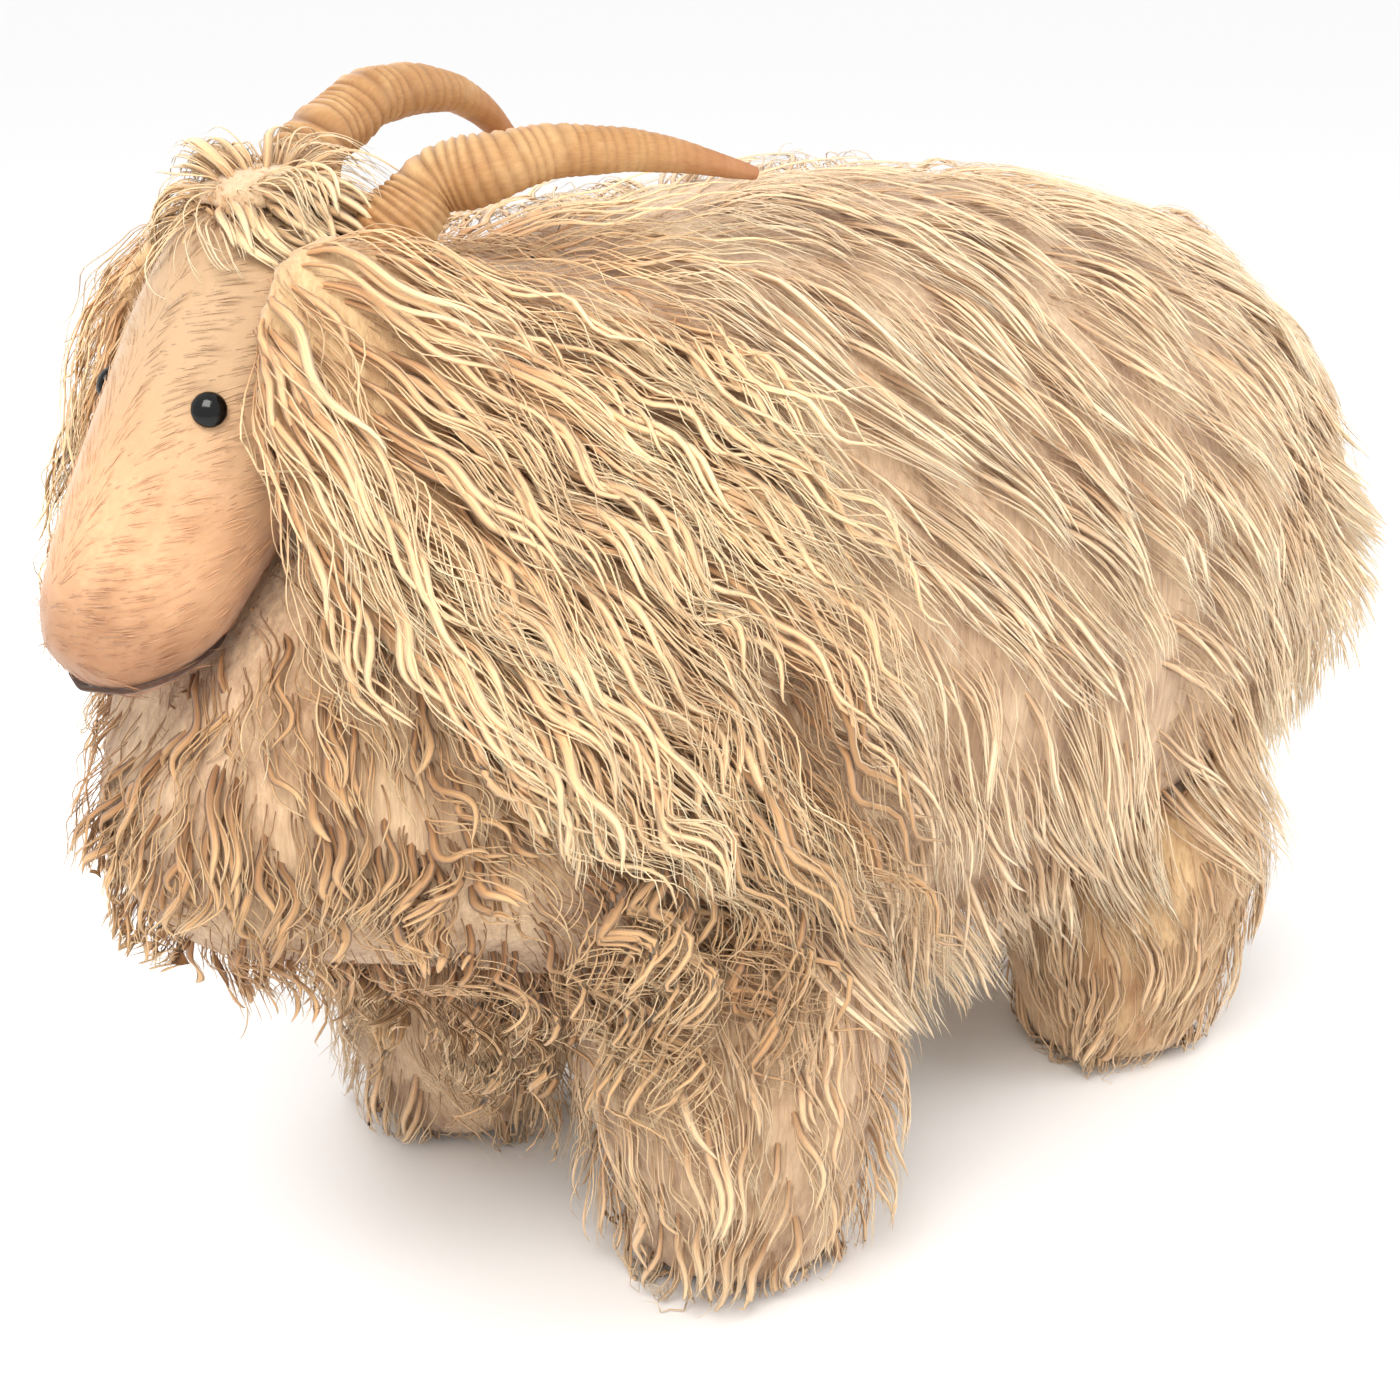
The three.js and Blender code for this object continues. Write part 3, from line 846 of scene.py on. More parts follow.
horn_lines = {}
for side in ("left", "right"):
    low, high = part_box("horn_" + side)
    root_y = high.y - 0.022 if side == "left" else low.y + 0.022
    horn_lines[side] = solid_line("horn_" + side, np.array([low.x + 0.02, root_y, low.z + 0.006]))
    line, radius = horn_lines[side]
    print(side, "horn from", line[0].round(3), "to", line[-1].round(3), "radii", radius[[0, 12, 23]].round(4))

# %% [markdown]
# The ring profile is a sum of two waves in the distance along the horn: a strong one with sharp
# valleys for the bold rings, and a finer one between them. Each ring bulges most on the outer
# side of the curve, and all fade towards the tip. A random shift along the horn keeps the rings
# from looking turned on a lathe.


# %% Shape the growth rings
def ring_relief(S, A, rings, random):
    """Relief = fade(s) * outer(angle) * (bold + fine waves of rings * s^0.85 + shift + lean)."""
    shift = np.interp(S[:, 0], np.linspace(0, 1, 30), random.normal(0, 0.35, 30))[:, None]
    lean = 0.35 * np.sin(A + 0.6)
    wave = rings * S ** 0.85 + shift + lean
    bold = np.abs(np.sin(np.pi * wave)) ** 0.7
    fine = 0.5 + 0.5 * np.sin(2 * np.pi * wave * 2.3)
    outer = 0.45 + 0.55 * np.clip(0.5 + 0.5 * np.sin(A), 0, 1)
    fade = np.clip(1.15 - S, 0, 1) ** 1.1
    relief = fade * outer * (0.15 * (bold - 0.55) + 0.035 * (fine - 0.5))
    fluting = 0.012 * np.sin(9 * A + 3 * np.sin(5 * S))
    valley = (1 - bold) * fade * outer
    return relief + fluting, valley


RING_COUNT = {"left": 44, "right": 34}
print("rings on the horns:", RING_COUNT)

# %% [markdown]
# The tube round the horn's line is a grid of points with a fan of triangles at each end. It also
# carries how deep each point lies between two rings and how far it is from the root, which the
# horn material reads, and a UV map that runs round and along the horn.


# %% Build the ridged horns
def ridged_tube(name, line, radius, rings, seed, rows=260, columns=28):
    """Points = line + radius(s) * (1 + relief) * (across cos + up sin), closed at both ends."""
    random = np.random.default_rng(seed)
    middle, length = evenly_spaced(line, rows)
    middle = smooth_rows(middle, 60)
    s = np.linspace(0, 1, rows)
    size = np.interp(s, np.linspace(0, 1, len(radius)), radius)
    tangent = np.gradient(middle, axis=0)
    tangent /= np.linalg.norm(tangent, axis=1, keepdims=True)
    across = np.cross(tangent, (0, 0, 1))
    across /= np.linalg.norm(across, axis=1, keepdims=True)
    up = np.cross(across, tangent)
    angle = np.linspace(0, 2 * np.pi, columns, endpoint=False)
    S, A = np.meshgrid(s, angle, indexing="ij")
    relief, valley = ring_relief(S, A, rings, random)
    reach = size[:, None] * (1 + relief)
    points = (
        middle[:, None]
        + across[:, None] * (reach * np.cos(A))[..., None]
        + up[:, None] * (reach * np.sin(A) * 0.94)[..., None]
    ).reshape(-1, 3)
    ends = np.stack([middle[0] - tangent[0] * 0.002, middle[-1] + tangent[-1] * size[-1] * 0.6])
    first, last = len(points), len(points) + 1
    quads = grid_faces(rows, columns, True)
    triangles = np.concatenate([quads[:, [0, 1, 2]], quads[:, [0, 2, 3]]])
    ring = np.arange(columns)
    after = (ring + 1) % columns
    top = (rows - 1) * columns
    root_cap = np.stack([after, ring, np.full(columns, first)], 1)
    tip_cap = np.stack([top + ring, top + after, np.full(columns, last)], 1)
    faces = np.concatenate([triangles, root_cap, tip_cap])
    points = np.concatenate([points, ends])
    a, b, c = (points[faces[:, k]] for k in range(3))
    if np.einsum("ij,ij->i", a, np.cross(b, c)).sum() < 0:
        faces = faces[:, ::-1]
    piece = mesh_object(name, points, faces)
    valley = np.append(valley.ravel(), [0, 0])
    far = np.append(S.ravel(), [0, 1])
    for label, values in (("valley", valley), ("reach", far)):
        attribute = piece.data.attributes.new(label, "FLOAT", "POINT")
        attribute.data.foreach_set("value", values.astype(np.float32))
    turn = np.append((A / (2 * np.pi)).ravel(), [0, 0])
    corner = faces.ravel()
    uv = np.stack([turn[corner], far[corner] * length / 0.05], 1).reshape(-1, 3, 2)
    spread = uv[:, :, 0].max(1) - uv[:, :, 0].min(1)
    uv[:, :, 0] += (uv[:, :, 0] < 0.5) & (spread > 0.5)[:, None]
    piece.data.uv_layers.new(name="Horn").data.foreach_set("uv", uv.astype(np.float32).ravel())
    piece.data.materials.append(ridged_horn)
    return piece, length


for side, (line, radius) in horn_lines.items():
    horn, length = ridged_tube("ridged_horn_" + side, line, radius, RING_COUNT[side], 7)
    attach(horn, "goat")
    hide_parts("horn_" + side)
    print(horn.name, "length", round(length, 3), "triangles", len(horn.data.polygons))

# %% [markdown]
# ## Eyes and the muzzle welt
#
# The eyes are domed glass buttons on a shank, and the welt is a cord of leather that trims the
# edge where the face hide meets the neck. Both come from the frame with flat facets, so a copy of
# each is merged and rounded with a subdivision surface.

# %% Round the buttons and the welt
ROUNDED = {
    "eye_left": ("button_eye_left", button_black, "black_button", 2),
    "eye_right": ("button_eye_right", button_black, "black_button", 2),
    "muzzle_welt": ("leather_welt", dark_leather, "dark_leather", 1),
}
for source, (name, material, slot, levels) in ROUNDED.items():
    piece = merged_copy(name, [source])
    rounder = piece.modifiers.new("round off", "SUBSURF")
    rounder.levels = levels
    rounder.render_levels = levels
    bake_modifiers(piece)
    piece.data.polygons.foreach_set("use_smooth", np.ones(len(piece.data.polygons), bool))
    piece.data.materials.clear()
    piece.data.materials.append(material)
    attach(piece, "goat")
    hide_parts(source)
    print(name, "faces", len(piece.data.polygons))

# %% [markdown]
# ## The coat
#
# Hair could be a particle system, but particles can't leave Blender as a mesh. Here every lock
# is a mesh of its own: a three-sided tube of a few dozen faces that tapers to a point. All the
# locks of one piece of fleece are worked out together, as arrays of locks by points by three.
#
# It takes four steps. Roots are scattered over the skin. Each lock then grows step by step,
# combed along the skin by gravity and by the groomer's hand. Neighbouring locks gather into
# tufts. Last, waves are added, and tubes are built round the lines.
#
# Two skins guide the growth. The trunk skin leaves out the ears and the tail, so the fleece runs
# on under them, and the whole skin has them, for their own hair.
#
# Growing needs the nearest point of the skin for thousands of points at once. A Shrinkwrap
# modifier on a mesh of loose vertices gives that without any loop.


# %% Find the nearest skin
def nearest_on(skin, points):
    """The nearest point of a skin for each of many points, by a Shrinkwrap modifier."""
    mesh = bpy.data.meshes.new("probe")
    mesh.vertices.add(len(points))
    mesh.vertices.foreach_set("co", points.astype(np.float32).ravel())
    probe = bpy.data.objects.new("probe", mesh)
    scene.collection.objects.link(probe)
    wrap = probe.modifiers.new("wrap", "SHRINKWRAP")
    wrap.target = skin
    wrap.wrap_method = "NEAREST_SURFACEPOINT"
    depsgraph = bpy.context.evaluated_depsgraph_get()
    found = points_of(probe.evaluated_get(depsgraph).data)
    bpy.data.objects.remove(probe)
    bpy.data.meshes.remove(mesh)
    return found


COAT_ROOM = 0.005
goat_solids = [
    name for name in nodes
    if name not in ("ear_left", "ear_right", "tail")
    and not any(word in name for word in ("horn", "eye", "washer", "glide", "welt"))
]
trunk_skin = soft_form("trunk skin", goat_solids, 0.009, COAT_ROOM, 4)
whole_skin = soft_form("whole skin", goat_solids + ["ear_left", "ear_right", "tail"], 0.007, 0.004, 4)
print("skins:", len(trunk_skin.data.polygons), len(whole_skin.data.polygons))

# %% [markdown]
# Roots fall evenly by area: a triangle is drawn with a chance in proportion to its area, and a
# random point is taken on it. Only points near the skin are kept, because some faces of a solid
# lie against its neighbour. Under an ear the neck has less than half as many roots, because the
# ear hides them until it lifts.


# %% Scatter the roots
def unit(vectors):
    """Vectors scaled to length one."""
    return vectors / np.maximum(np.linalg.norm(vectors, axis=-1, keepdims=True), 1e-9)


SKIN_REACH = 0.024
UNDER_EAR_SHARE = 0.45


def scattered_roots(source, count, skin, random):
    """Random points on a frame part, spread evenly by area, kept where the part forms the skin."""
    mesh = nodes[source].data
    mesh.calc_loop_triangles()
    triangles = np.empty(len(mesh.loop_triangles) * 3, np.int32)
    mesh.loop_triangles.foreach_get("vertices", triangles)
    corners = points_of(mesh)[triangles.reshape(-1, 3)]
    facing = np.cross(corners[:, 1] - corners[:, 0], corners[:, 2] - corners[:, 0])
    area = np.linalg.norm(facing, axis=1)
    chosen = random.choice(len(area), count * 4, p=area / area.sum())
    a, b = random.random((2, count * 4, 1))
    over = a + b > 1
    a, b = np.where(over, 1 - a, a), np.where(over, 1 - b, b)
    first = corners[chosen, 0]
    points = first + a * (corners[chosen, 1] - first) + b * (corners[chosen, 2] - first)
    normals = unit(facing[chosen])
    gap = np.linalg.norm(nearest_on(skin, points) - points, axis=1)
    shown = gap < SKIN_REACH
    if "neck" in source:
        ear = "ear_left" if "left" in source else "ear_right"
        under_ear = np.linalg.norm(nearest_on(pads[ear], points) - points, axis=1) < 0.006
        shown &= ~under_ear | (random.random(len(points)) < UNDER_EAR_SHARE)
    shown = np.flatnonzero(shown)[:count]
    return points[shown], normals[shown]


trial_roots, _ = scattered_roots("chest_fleece", 200, trunk_skin, np.random.default_rng(1))
print("a trial of 200 roots on the chest spans", np.ptp(trial_roots, axis=0).round(3))

# %% [markdown]
# The comb is a direction at every place: back along the body, out from the parting on the
# spine, and down. A slow drift bends it, so that the coat swirls a little and no two stretches
# look alike. The drift is a sum of a few sine waves across space with random directions.


# %% Let the comb drift
def drift(points, seed, wavelength):
    """A smooth wandering vector at each point: a sum of five sine waves through space."""
    random = np.random.default_rng(seed)
    total = np.zeros(points.shape)
    for _ in range(5):
        heading = unit(random.normal(size=3)) * 2 * np.pi / (wavelength * random.uniform(0.6, 1.6))
        wave = np.sin(points @ heading + random.uniform(0, 6.28))
        total = total + wave[..., None] * unit(random.normal(size=3))
    return total / 2


print("drift at the middle of the goat:", drift(np.zeros((1, 3)), 3, 0.2).round(2))

# %% [markdown]
# A lock grows from its root in equal steps. At each step the comb gives the way to go, the part
# of it that points into the skin is taken away, and near the root the lock lifts off a little.
# The new point is then pushed out of the skin to the lock's own height. Where a lock has left
# the skin, over the legs or under the belly, it hangs free and its steps get shorter.


# %% Grow the locks
BIB_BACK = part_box("chest_fleece")[0].x + 0.13
FACE_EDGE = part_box("ear_left")[0].x + 0.03


def nearest_normal(skin, roots, normals):
    """The skin's outward direction at each root, taken a little above the root."""
    above = roots + normals * 0.012
    return above - nearest_on(skin, above)


def grown(roots, normals, skin, length, steps, comb, lift, height, random):
    """Each point = the last one + a step along the comb laid flat on the skin, kept above it."""
    count = len(roots)
    normal = unit(nearest_normal(skin, roots, normals))
    point = roots - normal * 0.008
    path = [point]
    ups = [normal]
    pace = (length / (steps - 1))[:, None]
    clear = height[:, None]
    free = np.zeros((count, 1))
    habit = 0.28 * drift(roots, comb["seed"] + 1, 0.06)
    for step in range(1, steps):
        t = step / (steps - 1)
        side = np.tanh(point[:, 1:2] / 0.03)
        flat = np.clip(normal[:, 2:] * 1.4, 0.12, 1)
        swept = np.clip((point[:, :1] - FACE_EDGE) / 0.09, comb["front"], 1)
        want = np.concatenate([
            comb["back"] * swept * np.where(normal[:, :1] > 0.55, 0.2, 1),
            comb["out"] * side * flat,
            np.full((count, 1), -comb["down"]),
        ], 1)
        want = want + comb["swirl"] * drift(point, comb["seed"], 0.2) + habit
        into = (want * normal).sum(1, keepdims=True)
        want = unit(want - np.minimum(into, 0) * normal)
        want = unit(want + lift * (1 - t) ** 3 * normal * 2.2)
        over_legs = np.clip((point[:, :1] - BIB_BACK) / 0.08, 0, 1)
        hang = comb["hang"] + (comb["over legs"] - comb["hang"]) * over_legs
        point = point + want * pace * np.where(free > 0.011, hang, 1)
        point[:, 2] = np.maximum(point[:, 2], 0.002 + 0.012 * random.random(count) * t)
        near = nearest_on(skin, point)
        away = point - near
        gap = np.linalg.norm(away, axis=1, keepdims=True)
        away = away / np.maximum(gap, 1e-6)
        inside = (away * normal).sum(1, keepdims=True) < 0
        away = np.where(inside, -away, away)
        gap = np.where(inside, -gap, gap)
        close = np.abs(gap) < 0.02
        trusted = close & (np.abs(gap) > 0.0004)
        normal = unit(np.where(trusted, normal + away, normal))
        target = clear * min(1, 0.25 + 1.5 * t)
        point = np.where(close & (gap < target), near + normal * target, point)
        free = np.abs(gap)
        path.append(point)
        ups.append(normal)
    return np.stack(path, 1), np.stack(ups, 1)


print("the bib ends at x", round(BIB_BACK, 3), "and the hair round the face at x", round(FACE_EDGE, 3))

# %% [markdown]
# Hair clumps. A few locks of each piece are picked as leaders, every other lock joins the tuft of
# the nearest leader, and its points are drawn towards the leader's more and more to the tip. The
# wave that follows is shared within a tuft, so neighbours curl side by side and don't tangle. It
# swings across the lock and a little away from the skin, and its pitch is kept long enough for
# the number of points in a lock to draw it smoothly. A last clip keeps the coat's tips close to
# the frame's box.


# %% Gather and wave the locks
COAT_OVERHANG = 0.018
coat_low = np.array([cad_box[0][0] - COAT_OVERHANG, cad_box[0][1] - COAT_OVERHANG, 0.0015])
coat_high = np.array([cad_box[1][0] + COAT_OVERHANG, cad_box[1][1] + COAT_OVERHANG, cad_box[1][2]])


def gathered(path, tufts, pull, random):
    """Draws each lock towards the leading lock of its tuft, more and more towards the tip."""
    count, steps, _ = path.shape
    leaders = random.choice(count, max(1, min(tufts, count)), replace=False)
    spread = np.linalg.norm(path[:, None, 2] - path[None, leaders, 2], axis=2)
    tuft = spread.argmin(1)
    t = np.linspace(0, 1, steps)[None, :, None]
    amount = pull * t ** 0.8 * (0.6 + 0.4 * random.random((count, 1, 1)))
    return path + amount * (path[leaders[tuft]] - path), tuft


def waved(path, ups, tuft, wave, curl, random):
    """Adds a swing across the lock and a smaller one away from the skin, shared within a tuft."""
    count, steps, _ = path.shape
    tufts = tuft.max() + 1
    t = np.linspace(0, 1, steps)[None, :]
    tangent = unit(np.gradient(path, axis=1))
    across = unit(np.cross(tangent, ups))
    paces = np.linalg.norm(np.diff(path, axis=1), axis=2)
    reach = np.concatenate([np.zeros((count, 1)), np.cumsum(paces, axis=1)], 1)
    start = random.uniform(0, 6.28, tufts)[tuft] + random.normal(0, 0.2, count)
    pitch = curl * random.uniform(0.85, 1.3, tufts)[tuft]
    pitch = np.maximum(pitch, 6.5 * reach[:, -1] / (steps - 1))
    size = wave * random.uniform(0.4, 1.4, tufts)[tuft] * random.uniform(0.85, 1.15, count)
    turn = 2 * np.pi * reach / pitch[:, None] + start[:, None]
    swing = size[:, None] * np.clip(t * 3.0, 0, 1) * (0.7 + 0.6 * t)
    moved = path + across * (swing * np.sin(turn))[..., None]
    moved = moved + ups * (swing * 0.45 * (1 + np.cos(turn)))[..., None]
    return np.clip(moved, coat_low, coat_high)


print("the coat may reach from", coat_low.round(3), "to", coat_high.round(3))

# %% [markdown]
# A lock's cross-section is a low triangle, wide across the skin and less than half as high, so
# it catches the light like a ribbon of hair. Its width grows quickly from the root and shrinks
# to the tip. Every lock has the same faces, so one template is made and repeated by adding each
# lock's first vertex number.


# %% Build the tubes
def lock_template(steps):
    """Triangles of one lock and, for each of their corners, its place across (0-1) and along (0-1)."""
    faces = [(0, 2, 1)]
    places = [((0, 0), (0.66, 0), (0.33, 0))]
    last = steps - 2
    for ring in range(last):
        low, high = ring / (steps - 1), (ring + 1) / (steps - 1)
        for side in range(3):
            a, b = ring * 3 + side, ring * 3 + (side + 1) % 3
            u, v = side / 3, (side + 1) / 3
            faces += [(a, b, b + 3), (a, b + 3, a + 3)]
            places += [((u, low), (v, low), (v, high)), ((u, low), (v, high), (u, high))]
    for side in range(3):
        a, b = last * 3 + side, last * 3 + (side + 1) % 3
        u, v = side / 3, (side + 1) / 3
        faces.append((a, b, last * 3 + 3))
        places.append(((u, last / (steps - 1)), (v, last / (steps - 1)), ((u + v) / 2, 1)))
    return np.array(faces), np.array(places, float)


def lock_piece(name, path, ups, width, length, tone, material, paleness):
    """One mesh of many locks: at each step a triangle spans the line, and the last point closes it."""
    count, steps, _ = path.shape
    tangent = unit(np.gradient(path, axis=1))
    across = unit(np.cross(tangent, ups))
    high = np.cross(across, tangent)
    t = np.linspace(0, 1, steps)
    profile = np.minimum(1, 0.45 + 2.4 * t) * (1 - t ** 2.4) ** 0.7
    half = 0.5 * width[:, None, None] * profile[None, :, None]
    thick = np.minimum(half * 0.85, 0.0009)
    left, right_side, crest = path - across * half, path + across * half, path + high * thick
    rings = np.stack([left, right_side, crest], 2)[:, :-1].reshape(count, -1, 3)
    points = np.concatenate([rings, path[:, -1:]], 1)
    per_lock = points.shape[1]
    faces, places = lock_template(steps)
    a, b, c = (points[0][faces[:, k]] for k in range(3))
    if np.einsum("ij,ij->i", a - points[0, 0], np.cross(b - points[0, 0], c - points[0, 0])).sum() < 0:
        faces, places = faces[:, ::-1], places[:, ::-1]
    first = np.arange(count)[:, None, None] * per_lock
    piece = mesh_object(name, points.reshape(-1, 3), (faces[None] + first).reshape(-1, 3))
    mesh = piece.data
    strand = places[None] * [1.0, 0.0] + (tone * 40)[:, None, None, None] * [1.0, 0.0]
    strand = strand + places[None] * [0.0, 1.0] * (length / 0.03)[:, None, None, None]
    mesh.uv_layers.new(name="Strand").data.foreach_set("uv", strand.astype(np.float32).ravel())
    columns = int(np.ceil(np.sqrt(count * 12)))
    rows = int(np.ceil(count / columns))
    number = np.arange(count)
    cell = np.stack([number % columns, number // columns], 1)[:, None, None, :]
    atlas = (cell + 0.06 + 0.88 * places[None]) / np.array([columns, rows])
    mesh.uv_layers.new(name="OFBake").data.foreach_set("uv", atlas.astype(np.float32).ravel())
    step_of = np.append(np.repeat(t[:-1], 3), 1.0)
    for label, values in (
        ("tone", np.repeat(tone, per_lock)),
        ("along", (step_of[None, :] * paleness[:, None]).ravel()),
    ):
        attribute = mesh.attributes.new(label, "FLOAT", "POINT")
        attribute.data.foreach_set("value", values.astype(np.float32))
    mesh.materials.append(material)
    return piece


# %% [markdown]
# Each part of the coat has its own grooming: how many locks, how many points each has, how long
# they are, how wide and how long their waves are, how the comb runs and which hair it is. Lengths
# are in metres. The breast is the curliest, the back and rump are combed straight, the ears and
# neck hang in long golden waves, and the legs are shaggy down to the floor.
#
# Most locks are fine strands that lie on top. The rest are broad and flat, lie close to the skin
# and are a little darker, so they give the coat its body. A few strands stray: they are longer,
# stand off and curl more. Below the mane line the neck turns into the curly breast. The forelock
# is kept narrow, so that both ears can lift beside it.

# %% Set the grooming
def comb_of(back, out, down, swirl, hang, over_legs, seed, front=0.1):
    """How a part of the coat is combed, and how far its locks hang free of the skin."""
    return {
        "back": back, "out": out, "down": down, "swirl": swirl,
        "hang": hang, "over legs": over_legs, "seed": seed, "front": front,
    }


BACK_COMB = comb_of(0.5, 0.6, 1.0, 0.5, 0.5, 0.6, 3)
MANE_COMB = comb_of(0.7, 0.3, 1.0, 0.4, 0.35, 1.0, 5)
BREAST_COMB = comb_of(0.12, 0.1, 1.0, 0.45, 0.25, 1.0, 8)
LEG_COMB = comb_of(0.0, 0.0, 1.0, 0.35, 0.6, 0.6, 11)
RUMP_COMB = comb_of(0.4, 0.3, 1.0, 0.45, 0.5, 0.6, 14)
EAR_COMB = comb_of(0.8, 0.5, 1.0, 0.2, 0.6, 0.7, 17, front=0.9)
FAR_EAR_COMB = comb_of(0.15, 0.5, 1.0, 0.28, 0.6, 0.7, 18)
CROWN_COMB = comb_of(0.45, 1.1, 0.5, 0.35, 0.8, 0.8, 20, front=0.4)
TAIL_COMB = comb_of(0.6, 0.1, 0.7, 0.4, 0.6, 0.6, 23)

# piece: locks, points in each, shortest and longest, wave width, wave length, comb, hair
GROOMING = {
    "ear_left": (1850, 18, (0.10, 0.19), 0.0042, 0.056, EAR_COMB, golden_hair),
    "ear_right": (1050, 15, (0.10, 0.18), 0.0042, 0.056, FAR_EAR_COMB, golden_hair),
    "neck_fleece_left": (1700, 20, (0.09, 0.16), 0.0042, 0.050, MANE_COMB, golden_hair),
    "neck_fleece_right": (1050, 16, (0.09, 0.16), 0.0042, 0.050, MANE_COMB, golden_hair),
    "chest_fleece": (1850, 18, (0.06, 0.11), 0.0072, 0.034, BREAST_COMB, curly_hair),
    "flank_fleece_left": (4100, 9, (0.08, 0.15), 0.0016, 0.090, BACK_COMB, back_hair),
    "flank_fleece_right": (2300, 9, (0.08, 0.15), 0.0016, 0.090, BACK_COMB, back_hair),
    "rump_fleece_left": (4000, 9, (0.08, 0.14), 0.0016, 0.085, RUMP_COMB, back_hair),
    "rump_fleece_right": (2100, 9, (0.08, 0.14), 0.0016, 0.085, RUMP_COMB, back_hair),
    "leg_sleeve_front_left": (2000, 11, (0.06, 0.11), 0.0032, 0.046, LEG_COMB, leg_hair),
    "leg_sleeve_front_right": (1300, 11, (0.06, 0.11), 0.0032, 0.046, LEG_COMB, leg_hair),
    "leg_sleeve_rear_left": (1700, 10, (0.05, 0.10), 0.0030, 0.050, LEG_COMB, leg_hair),
    "leg_sleeve_rear_right": (1150, 10, (0.05, 0.10), 0.0030, 0.050, LEG_COMB, leg_hair),
    "topknot": (950, 12, (0.04, 0.09), 0.0024, 0.050, CROWN_COMB, cream_hair),
    "tail": (600, 8, (0.03, 0.06), 0.0014, 0.040, TAIL_COMB, golden_hair),
}
MANE_TURN = 0.42
FINE_SHARE = 0.84
STRAY_SHARE = 0.04
EAR_ROOM = 0.054
FINE_WIDTH = (0.0007, 0.0015)
BROAD_WIDTH = (0.0038, 0.0068)
COMBED_SHARE = 0.78
TUFT_SIZE = 34
TUFT_PULL = 0.55
print("locks planned:", sum(plan[0] for plan in GROOMING.values()))


# %% Grow the coat
def groom(source, seed):
    """The locks of one piece of fleece: broad flat ones below and fine strands over them."""
    count, steps, lengths, wave, curl, comb, material = GROOMING[source]
    random = np.random.default_rng(seed)
    skin = whole_skin if source in ("ear_left", "ear_right", "tail") else trunk_skin
    roots, normals = scattered_roots(source, count, skin, random)
    count = len(roots)
    fine = random.random(count) < FINE_SHARE
    length = random.uniform(*lengths, count)
    broad = random.uniform(*BROAD_WIDTH, count) * (COMBED_SHARE if material is back_hair else 1)
    width = np.where(fine, random.uniform(*FINE_WIDTH, count), broad)
    height = random.uniform(0.0, 0.0015, count)
    height = height + np.where(fine, random.uniform(0.001, 0.008, count), 0)
    stray = fine & (random.random(count) < STRAY_SHARE)
    height = height + 0.009 * stray
    length = length * np.where(stray, 1.25, 1.0)
    lower_front = np.clip((MANE_TURN - roots[:, 2]) / 0.05 + 0.5, 0, 1)
    if "neck" in source:
        curly = lower_front > random.random(count)
        wave, curl = np.where(curly, 0.0050, wave), np.where(curly, 0.038, curl)
    else:
        curly = np.zeros(count, bool)
    if source in ("chest_fleece", "neck_fleece_left", "neck_fleece_right"):
        length = length * np.where(roots[:, 0] < BIB_BACK, 0.75, 1 + 0.3 * lower_front)
    lift = 0.9 if source == "topknot" else 0.35
    path, ups = grown(roots, normals, skin, length, steps, comb, lift, height, random)
    path, tuft = gathered(path, count // TUFT_SIZE, TUFT_PULL, random)
    path = waved(path, ups, tuft, wave * np.where(stray, 1.8, 1.0), curl, random)
    if source == "topknot":
        path[:, :, 1] = EAR_ROOM * np.tanh(path[:, :, 1] / EAR_ROOM)
    tone = 0.55 * random.random(tuft.max() + 1)[tuft] + 0.45 * random.random(count)
    tone = tone * np.where(fine, 1, 0.65)
    paleness = np.where(fine, 1.0, 0.55)
    piece = lock_piece("locks_" + source, path, ups, width, length, tone, material, paleness)
    if curly.any():
        piece.data.materials.append(curly_hair)
        faces_each = len(piece.data.polygons) // count
        which = np.repeat(curly, faces_each).astype(np.int32)
        piece.data.polygons.foreach_set("material_index", which)
    return piece, count


locks = {}
for seed, source in enumerate(GROOMING):
    piece, count = groom(source, 100 + seed)
    locks[source] = piece
    print(piece.name, "locks", count, "triangles", len(piece.data.polygons))

# %% [markdown]
# ### The nap of the face
#
# The face is covered by short hairs that lie flat and point from the muzzle up and back to the
# cheeks. They are made like the locks, only much shorter, finer and without waves, and their colour is the
# face's, brightened as painted light against their own shade.

# %% Lay the nap
NAP_COUNT = 3600
NAP_STEPS = 4
nap_random = np.random.default_rng(77)
nap_roots, nap_normals = scattered_roots("face_hide", NAP_COUNT, trunk_skin, nap_random)
near_face = nearest_on(face, nap_roots)
nap_out = unit(nap_roots + nap_normals * 0.01 - near_face)
nap_side = np.tanh(nap_roots[:, 1] / 0.02)
nap_flow = np.stack([np.full(len(nap_roots), 0.7), 0.7 * nap_side, np.full(len(nap_roots), 0.12)], 1)
nap_flow = nap_flow + 0.22 * drift(nap_roots, 31, 0.09)
nap_flow = unit(nap_flow - (nap_flow * nap_out).sum(1, keepdims=True) * nap_out)
nap_length = nap_random.uniform(0.009, 0.018, len(nap_roots))
nap_t = np.linspace(0, 1, NAP_STEPS)[None, :, None]
nap_path = (
    near_face[:, None] - nap_out[:, None] * 0.0004
    + nap_flow[:, None] * nap_length[:, None, None] * nap_t
    + nap_out[:, None] * 0.0005 * np.sin(nap_t * 2.4)
)
print("nap hairs:", len(nap_roots))


# %% Build the nap
def nap_material():
    """The face hide's colours made 12 to 28 percent lighter hair by hair: painted light that cancels the
    shade each thin hair takes and casts, with a random spread between hairs.
    """
    material = face_material("face nap")
    tree = material.node_tree
    shader = tree.nodes["Principled BSDF"]
    source = shader.inputs["Base Color"].links[0].from_socket
    hair_tone = add_node(tree, "ShaderNodeAttribute", attribute_name="tone").outputs["Fac"]
    # painted light: every nap hair is brightened so that its own shading and shadow do not show it darker
    # than the face
    painted_light_lift = add_node(
        tree, "ShaderNodeMapRange", {"Value": hair_tone, "To Min": 1.12, "To Max": 1.28}
    ).outputs[0]
    varied = add_node(tree, "ShaderNodeHueSaturation", {"Color": source, "Value": painted_light_lift})
    tree.links.new(varied.outputs["Color"], shader.inputs["Base Color"])
    return material


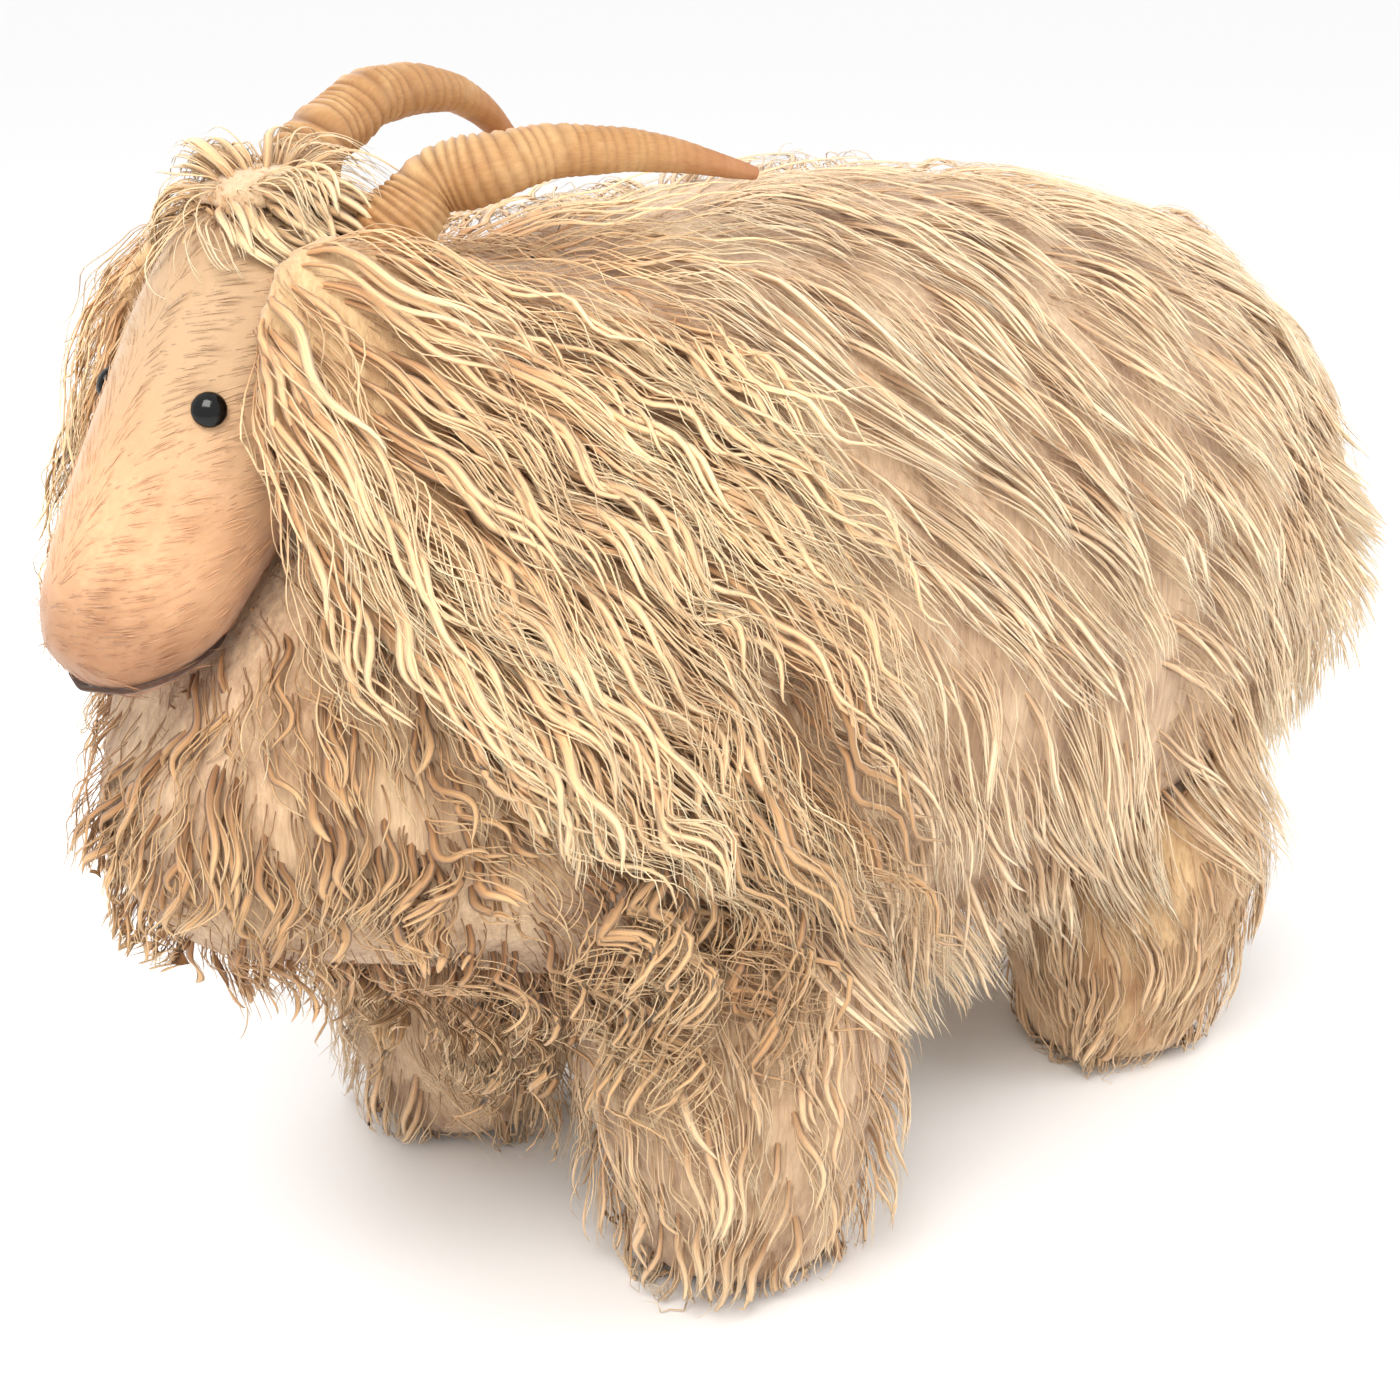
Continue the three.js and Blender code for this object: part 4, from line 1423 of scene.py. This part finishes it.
nap_width = nap_random.uniform(0.0003, 0.0007, len(nap_roots))
nap_ups = np.repeat(nap_out[:, None], NAP_STEPS, axis=1)
nap = lock_piece(
    "face_nap", nap_path, nap_ups, nap_width, nap_length,
    nap_random.random(len(nap_roots)), nap_material(), np.ones(len(nap_roots)),
)
print("nap triangles:", len(nap.data.polygons))

# %% [markdown]
# ## Join everything to the frame
#
# Every piece now rides on the body that carries it, and the solid it covers is hidden. The tail's hinge
# lies inside the rump, so a stiff tail would come away from the coat as it lifts: its locks and its pad
# ride on no body and keep their places in the world instead.

# %% Ride and replace
for helper in (trunk_skin, whole_skin):
    bpy.data.objects.remove(helper)


def carry(piece, body):
    """A tail piece keeps its place in the world and rides on no body, and every other piece rides on its
    body.
    """
    if body == "tail_flap":
        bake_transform(piece)
    else:
        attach(piece, body)


for source, body in fleece_bodies.items():
    carry(locks[source], body)
    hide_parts(source)
for pad_name, sources in pad_sources.items():
    carry(pads[pad_name], fleece_bodies[sources[0]])
    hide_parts(*sources)

for piece, source, slot, fill in (
    (face, "face_hide", "face_hide", 0.85),
    (belly, "belly_cloth", "belly_cloth", 0.6),
):
    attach(piece, "goat")
    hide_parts(source)
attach(nap, "goat")

# %% [markdown]
# ## Count the triangles
#
# A coat of mesh hair is heavy, so its weight is measured: the triangles of the whole goat, of the
# hair and of the largest piece are counted. No piece may pass two hundred thousand triangles, and
# the whole goat stays under two million.


# %% Count the triangles
def triangle_count(piece):
    """A face of n corners is n - 2 triangles."""
    return len(piece.data.loops) - 2 * len(piece.data.polygons)


shown = [piece for piece in scene.objects if piece.type == "MESH" and piece is not floor]
print("triangles in all:", sum(triangle_count(piece) for piece in shown))
print("triangles in the hair:", sum(triangle_count(piece) for piece in [*locks.values(), nap]))
print("in the largest piece:", max(triangle_count(piece) for piece in shown))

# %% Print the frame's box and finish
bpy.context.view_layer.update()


def plain(box):
    """A pair of corners as lists of numbers."""
    return [[float(v) for v in corner] for corner in box]


print("frame box", plain(cad_box))
